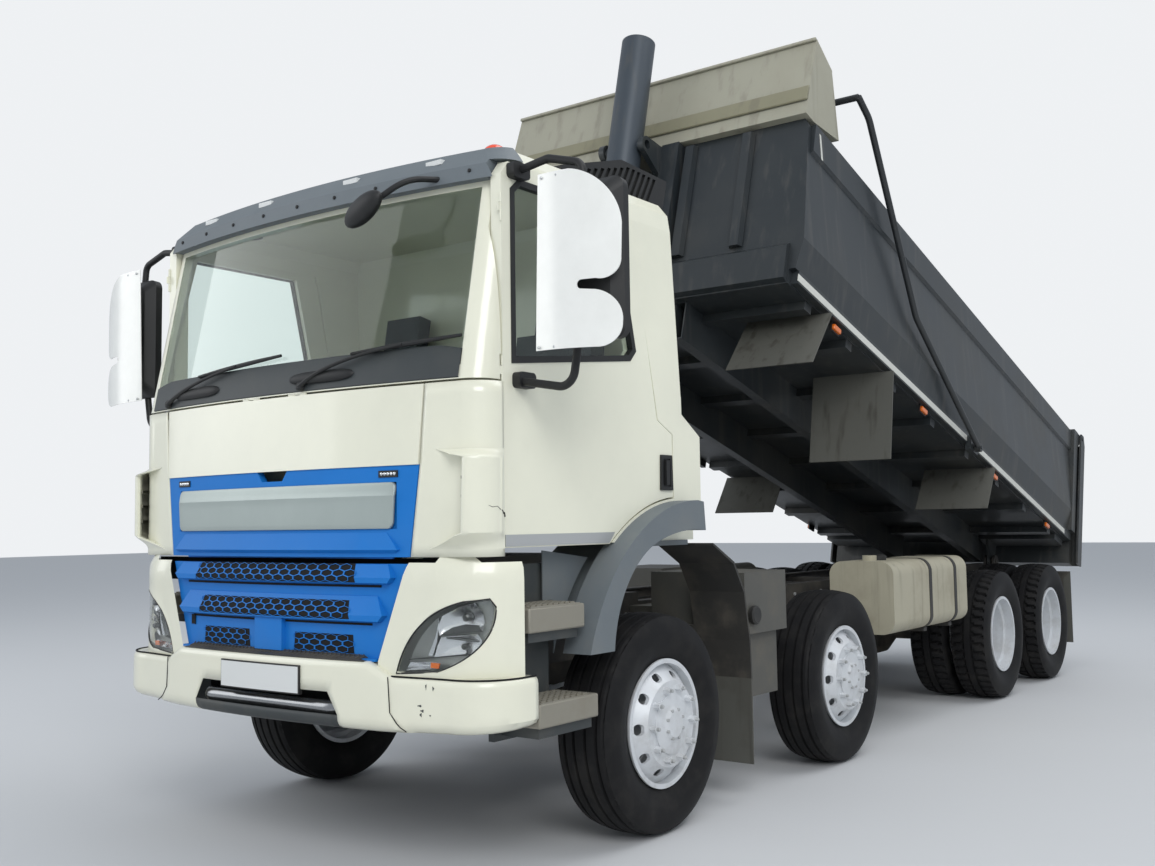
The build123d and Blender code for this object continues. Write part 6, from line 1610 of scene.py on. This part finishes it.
@dataclass
class DoorTrim(Trim):
    """Window rubbers, handles, sill strips, mirror faces and mirror screws on both doors."""

    window: Pairs = (
        (0.995, 2.14), (0.995, 2.84), (0.955, 2.876), (0.27, 2.876), (0.126, 2.267), (0.16, 2.232),
    )
    rubber: float = 0.024
    sill: Pairs = ((0.345, 1.36), (1.07, 1.36), (1.07, 1.408), (0.30, 1.408))
    cup: Pairs = ((-0.19, 1.61), (-0.095, 1.61), (-0.1, 1.77), (-0.185, 1.77))
    screw_places: Pairs = ((1.395, 2.825), (1.47, 2.825), (1.372, 2.145), (1.45, 2.142))

    def build(self) -> None:
        """Builds the trim of each door."""
        face = block((1.405, 1.69), (2.2, 2.78), (0.9565, 0.9595), View.FRONT)
        rubber = band(self.window, -0.004, self.rubber, CAB_SIDE - 0.03, CAB_SIDE + 0.0035, View.SIDE)
        for side, word in zip(SIDES, ("left", "right")):
            for name, surface, slot, finish in (
                ("window_rubber", rubber, "guard", "black"),
                ("sill_strip", slab(self.sill, CAB_SIDE - 0.001, CAB_SIDE + 0.004, View.SIDE), "bar", "trim"),
                ("door_handle", self.handle(), "plastic", "black"),
                ("mirror_face", face, "mirror", "mirror_face"),
                ("mirror_screws", self.screws(), "mirror", "nut"),
            ):
                self.put(f"{name}_{word}", surface.on_side(side), f"door_{word}", slot, finish)

    def handle(self) -> Surface:
        """A recessed cup with a flap: an outer frame, a dark floor and an upright grip."""
        frame_ring = band(self.cup, -0.012, 0.006, CAB_SIDE - 0.002, CAB_SIDE + 0.01, View.SIDE)
        floor = slab(self.cup, CAB_SIDE - 0.001, CAB_SIDE + 0.002, View.SIDE)
        grip = block((-0.15, -0.12), (1.63, 1.75), (CAB_SIDE + 0.002, CAB_SIDE + 0.022), View.SIDE)
        return frame_ring + floor + grip

    def screws(self) -> Surface:
        """Screw heads near the guard's inner corners."""
        parts = []
        for left, up in self.screw_places:
            centre = [AXLE_1 + 1.112, left, up]
            parts.append(turned([(-0.01, 0.006), (0.006, 0.006), (0.009, 0.003)], centre, [1, 0, 0], 8))
        return combined(parts)


@dataclass
class Steps(Trim):
    """The arch panels, and the entry steps as boards, boxes and treads with raised bars."""

    def plate(self, ahead: tuple[float, float], left: tuple[float, float], top: float) -> Surface:
        """A tread plate with raised cross bars.

        Args:
            ahead: rear and front edge.
            left: inner and outer edge.
            top: height of the step that it lies on.

        Returns:
            The plate and its bars.
        """
        parts = [block(ahead, left, (top - 0.002, top + 0.004), View.PLAN)]
        for place in np.linspace(left[0] + 0.02, left[1] - 0.02, 7):
            for start in np.linspace(ahead[0] + 0.02, ahead[1] - 0.05, 8):
                bar = ((start, start + 0.028), (place - 0.005, place + 0.005), (top + 0.003, top + 0.010))
                parts.append(block(*bar, View.PLAN))
        return combined(parts)

    def arch_panel(self) -> Surface:
        """The cab's lower panel between the arch's flare and the steps, its rear edge the flare's arc."""
        turn = np.radians(np.linspace(17.5, 47.0, 10))
        arc = [(-0.278 + 0.95 * cos(t), 0.6 + 0.95 * sin(t)) for t in turn]
        corners = [(0.70, 1.335), (0.70, 1.12), (0.632, 1.118), (0.618, 1.0)]
        return slab(arc + corners, 1.041, 1.047, View.SIDE)

    def build(self) -> None:
        """Builds the arch panels, and each step's board, box and tread."""
        self.put("arch_panels", self.arch_panel().both_sides(), "cab", "plastic", "plastic")
        boards = block((0.645, 1.01), (1.0, 1.03), (0.56, 1.28), View.PLAN)
        boards += block((0.66, 0.99), (1.03, 1.2), (0.968, 1.01), View.PLAN)
        boards += block((0.6, 0.96), (1.03, 1.225), (0.582, 0.63), View.PLAN)
        boards = boards.both_sides()
        self.put("step_boards", boards, "chassis", "plastic", "cowl", replaces=("entry_steps",))
        boxes = block((0.634, 1.01), (1.025, 1.224), (1.008, 1.11), View.PLAN)
        boxes += block((0.577, 0.98), (1.025, 1.248), (0.625, 0.724), View.PLAN)
        boxes = boxes.both_sides()
        self.put("step_boxes", boxes, "chassis", "plastic", "tread", rounding=Rounding(0.008))
        upper = self.plate((0.665, 1.0), (1.04, 1.222), 1.110)
        lower = self.plate((0.62, 0.97), (1.04, 1.246), 0.722)
        self.put("step_treads", (upper + lower).both_sides(), "chassis", "plastic", "tread")


@dataclass
class BedTrim(Trim):
    """The bed's stripes, marker lamps, sheet box folds, reflectors and channels, and the rear lamps."""

    rail_left: float = 1.2081
    marker_places: tuple[float, ...] = (0.5, 2.0, 3.6, 5.1)
    channel_places: tuple[float, ...] = (0.36, -0.36, 0.78, -0.78)
    channel_section: Pairs = ((5.755, -0.045), (5.79, -0.03), (5.79, 0.03), (5.755, 0.045))
    lip_section: Pairs = ((5.774, 1.884), (5.792, 1.884), (5.792, 1.904), (5.772, 1.904))
    band_section: Pairs = ((5.803, 1.545), (5.8145, 1.540), (5.821, 1.446), (5.81, 1.44))

    def build(self) -> None:
        """Builds the bed's trim."""
        depth = (self.rail_left - 0.001, self.rail_left + 0.0022)
        stripe = block((0.05, 5.72), (0.262, 0.305), depth, View.BED_SIDE)
        self.put("rail_stripes", stripe.both_sides(), "bed", "bar", "white")
        markers, seats = [], []
        for along in self.marker_places:
            markers.append(block((along - 0.05, along + 0.05), (0.2, 0.235), (1.165, 1.19), View.BED_SIDE))
            seats.append(block((along - 0.058, along + 0.058), (0.19, 0.262), (1.16, 1.172), View.BED_SIDE))
        lamps = combined(markers).both_sides()
        self.put("side_markers", lamps, "bed", "lamp", "amber", rounding=Rounding(0.006))
        self.put("marker_seats", combined(seats).both_sides(), "bed", "guard", "black")
        for name, section, finish, width in (
            ("sheet_box_lip", self.lip_section, "sheet", 0.004),
            ("sheet_box_band", self.band_section, "sheet_low", 0.003),
        ):
            fold = slab(section, -1.19, 1.19, View.BED_SIDE)
            self.put(name, fold, "bed", "sheet", finish, rounding=Rounding(width))
        self.put("front_reflectors", self.reflector().both_sides(), "bed", "bar", "white")
        self.put("headboard_channels", self.channels(), "bed", "bed", "bed")
        lenses = self.tail_lamps().both_sides()
        self.put("tail_lamps", lenses, "chassis", "lamp", "red", rounding=Rounding(0.006))

    def reflector(self) -> Surface:
        """A short upright reflector near the front of each side."""
        lean = [(5.58, 1.135), (5.6, 1.135), (5.66, 1.28), (5.64, 1.28)]
        return slab(lean, 1.2155, 1.2185, View.BED_SIDE)

    def channels(self) -> Surface:
        """Folded stiffeners up the headboard, either side of the ram."""
        parts = []
        for left in self.channel_places:
            outline = [(along, left + wide) for along, wide in self.channel_section]
            parts.append(slab(outline, 0.53, 1.32, View.BED_PLAN))
        return combined(parts)

    def tail_lamps(self) -> Surface:
        """Rear lamp lenses on the lamp boxes."""
        return combined([
            block((0.80 + 0.075 * n, 0.865 + 0.075 * n), (0.63, 0.73), (-7.098, -7.07), View.FRONT)
            for n in range(3)
        ])


@dataclass
class ChassisTrim(Trim):
    """Air lines, frame bolts, the tank's cap and the round cap on the left box."""

    # left, up
    line_places: Pairs = ((0.35, 0.93), (0.34, 0.90), (-0.35, 0.93), (-0.34, 0.89))
    # reach and radius
    tank_cap: Pairs = ((0, 0.06), (0.03, 0.06), (0.04, 0.045))
    box_cap: Pairs = ((0, 0.05), (0.02, 0.05), (0.028, 0.04))
    bolt_pitch: float = 0.42
    bolt_heights: tuple[float, ...] = (0.80, 0.93)

    def build(self) -> None:
        """Builds the trim of the chassis."""
        for name, profile, centre, axis, sides in (
            ("tank_cap", self.tank_cap, [AXLE_1 - 3.1, 0.98, 1.164], [0, 0, 1], 24),
            ("box_cap", self.box_cap, [AXLE_1 - 0.90, 1.2, 0.95], [0, 1, 0], 22),
        ):
            self.put(name, turned(profile, centre, axis, sides), "chassis", "guard", "black")
        self.put("air_lines", self.air_lines(), "chassis", "guard", "black")
        self.put("frame_bolts", self.bolts().both_sides(), "chassis", "chassis", "nut")

    def air_lines(self) -> Surface:
        """Air and electric lines along the rails, in gentle waves between clips."""
        parts = []
        for number, (left, up) in enumerate(self.line_places):
            along = np.linspace(-6.6, 0.2, 60)
            path = np.stack([AXLE_1 + along, left + 0.006 * np.sin(4 * along + number),
                             up + 0.01 * np.cos(3.1 * along + number)], -1)
            parts.append(tube(path, 0.008, 6))
        return combined(parts)

    def bolts(self) -> Surface:
        """Pairs of bolt heads along the rail's web."""
        parts = []
        head = [(0, 0.013), (0.010, 0.012), (0.012, 0.006)]
        for ahead in np.arange(-6.7, 0.9, self.bolt_pitch):
            for up in self.bolt_heights:
                parts.append(turned(head, [AXLE_1 + ahead, 0.4295, up], [0, 1, 0], 6))
        return combined(parts)


# Studio


@dataclass
class Studio:
    """The pale floor, soft lamps, plain world and the photograph's camera."""

    photo_width: int = 1155
    focal_pixels: float = 1189.5
    camera_place: tuple[float, float, float] = (7.877, 4.287, 1.453)
    yaw: float = radians(216.81)
    pitch: float = radians(4.31)
    roll: float = radians(-0.82)
    background: tuple[float, float, float] = (0.86, 0.88, 0.90)
    floor_reach: float = 60.0
    aim: tuple[float, float, float] = (0.5, 0.0, 1.5)

    def build(self) -> None:
        """Builds everything that isn't the truck."""
        self.camera()
        self.floor()
        self.lamps()
        self.world()
        bpy.context.scene.view_settings.view_transform = "Standard"

    def camera(self) -> None:
        """Stands the camera where the photograph was taken, with its lens."""
        data = bpy.data.cameras.new("photo camera")
        data.sensor_width = 36.0
        data.lens = 36.0 * self.focal_pixels / self.photo_width
        data.clip_end = 200.0
        camera = bpy.data.objects.new("photo camera", data)
        ahead = Vector((cos(self.pitch) * cos(self.yaw), cos(self.pitch) * sin(self.yaw), sin(self.pitch)))
        right = ahead.cross(Vector((0, 0, 1))).normalized()
        up = right.cross(ahead)
        turned_right = cos(self.roll) * right + sin(self.roll) * up
        turned_up = -sin(self.roll) * right + cos(self.roll) * up
        matrix = Matrix((turned_right, turned_up, -ahead)).transposed().to_4x4()
        matrix.translation = Vector(self.camera_place)
        camera.matrix_world = matrix
        bpy.context.scene.collection.objects.link(camera)
        bpy.context.scene.camera = camera

    def floor(self) -> None:
        """A wide pale floor."""
        mesh = bpy.data.meshes.new("floor")
        reach = self.floor_reach
        corners = [(-reach, -reach, 0), (reach, -reach, 0), (reach, reach, 0), (-reach, reach, 0)]
        mesh.from_pydata(corners, [], [(0, 1, 2, 3)])
        floor = bpy.data.objects.new("floor", mesh)
        bpy.context.scene.collection.objects.link(floor)
        material = bpy.data.materials.new("pale floor")
        material.use_nodes = True
        shader = material.node_tree.nodes["Principled BSDF"]
        shader.inputs["Base Color"].default_value = (0.62, 0.63, 0.64, 1.0)
        shader.inputs["Roughness"].default_value = 0.75
        mesh.materials.append(material)

    def lamps(self) -> None:
        """A large soft key from the front left, a fill from the right and a top light."""
        for name, place, size, power in (
            ("key", (14.0, 12.0, 11.0), 9.0, 1500.0),
            ("fill", (12.0, -12.0, 7.0), 9.0, 450.0),
            ("top", (-2.0, 4.0, 14.0), 10.0, 700.0),
        ):
            data = bpy.data.lights.new(name, "AREA")
            data.size = size
            data.energy = power
            lamp = bpy.data.objects.new(name, data)
            lamp.location = place
            toward = Vector(self.aim) - Vector(place)
            lamp.rotation_euler = toward.to_track_quat("-Z", "Y").to_euler()
            bpy.context.scene.collection.objects.link(lamp)

    def world(self) -> None:
        """A pale sky for the light, and a plain paler one for camera and transmitted rays."""
        world = bpy.data.worlds.new("studio")
        bpy.context.scene.world = world
        world.use_nodes = True
        tree = world.node_tree
        tree.nodes.clear()
        light = add_node(tree, "Background", {"Color": (0.80, 0.86, 0.94, 1.0), "Strength": 0.62})
        seen = add_node(tree, "Background", {"Color": self.background + (1.0,), "Strength": 1.0})
        ray = add_node(tree, "LightPath").outputs
        either = {0: ray["Is Camera Ray"], 1: ray["Is Transmission Ray"]}
        first = add_node(tree, "Math", either, operation="MAXIMUM")
        mix = add_node(tree, "MixShader", {0: first.outputs[0], 1: light.outputs[0], 2: seen.outputs[0]})
        add_node(tree, "OutputWorld", {"Surface": mix.outputs[0]})


def main() -> None:
    """Builds the finishes, each sub-assembly's small pieces and the studio, in order."""
    logging.basicConfig(level=logging.INFO, format="%(message)s")
    wardrobe = Wardrobe()
    wardrobe.dress_nodes()
    for maker in (Wheels, CabFront, CornerPanels, Bumper, Honeycomb, Headlamps, RoofTrim, DoorTrim, Steps,
                  BedTrim, ChassisTrim):
        maker(wardrobe).build()
    Studio().build()


if __name__ == "__main__":
    main()
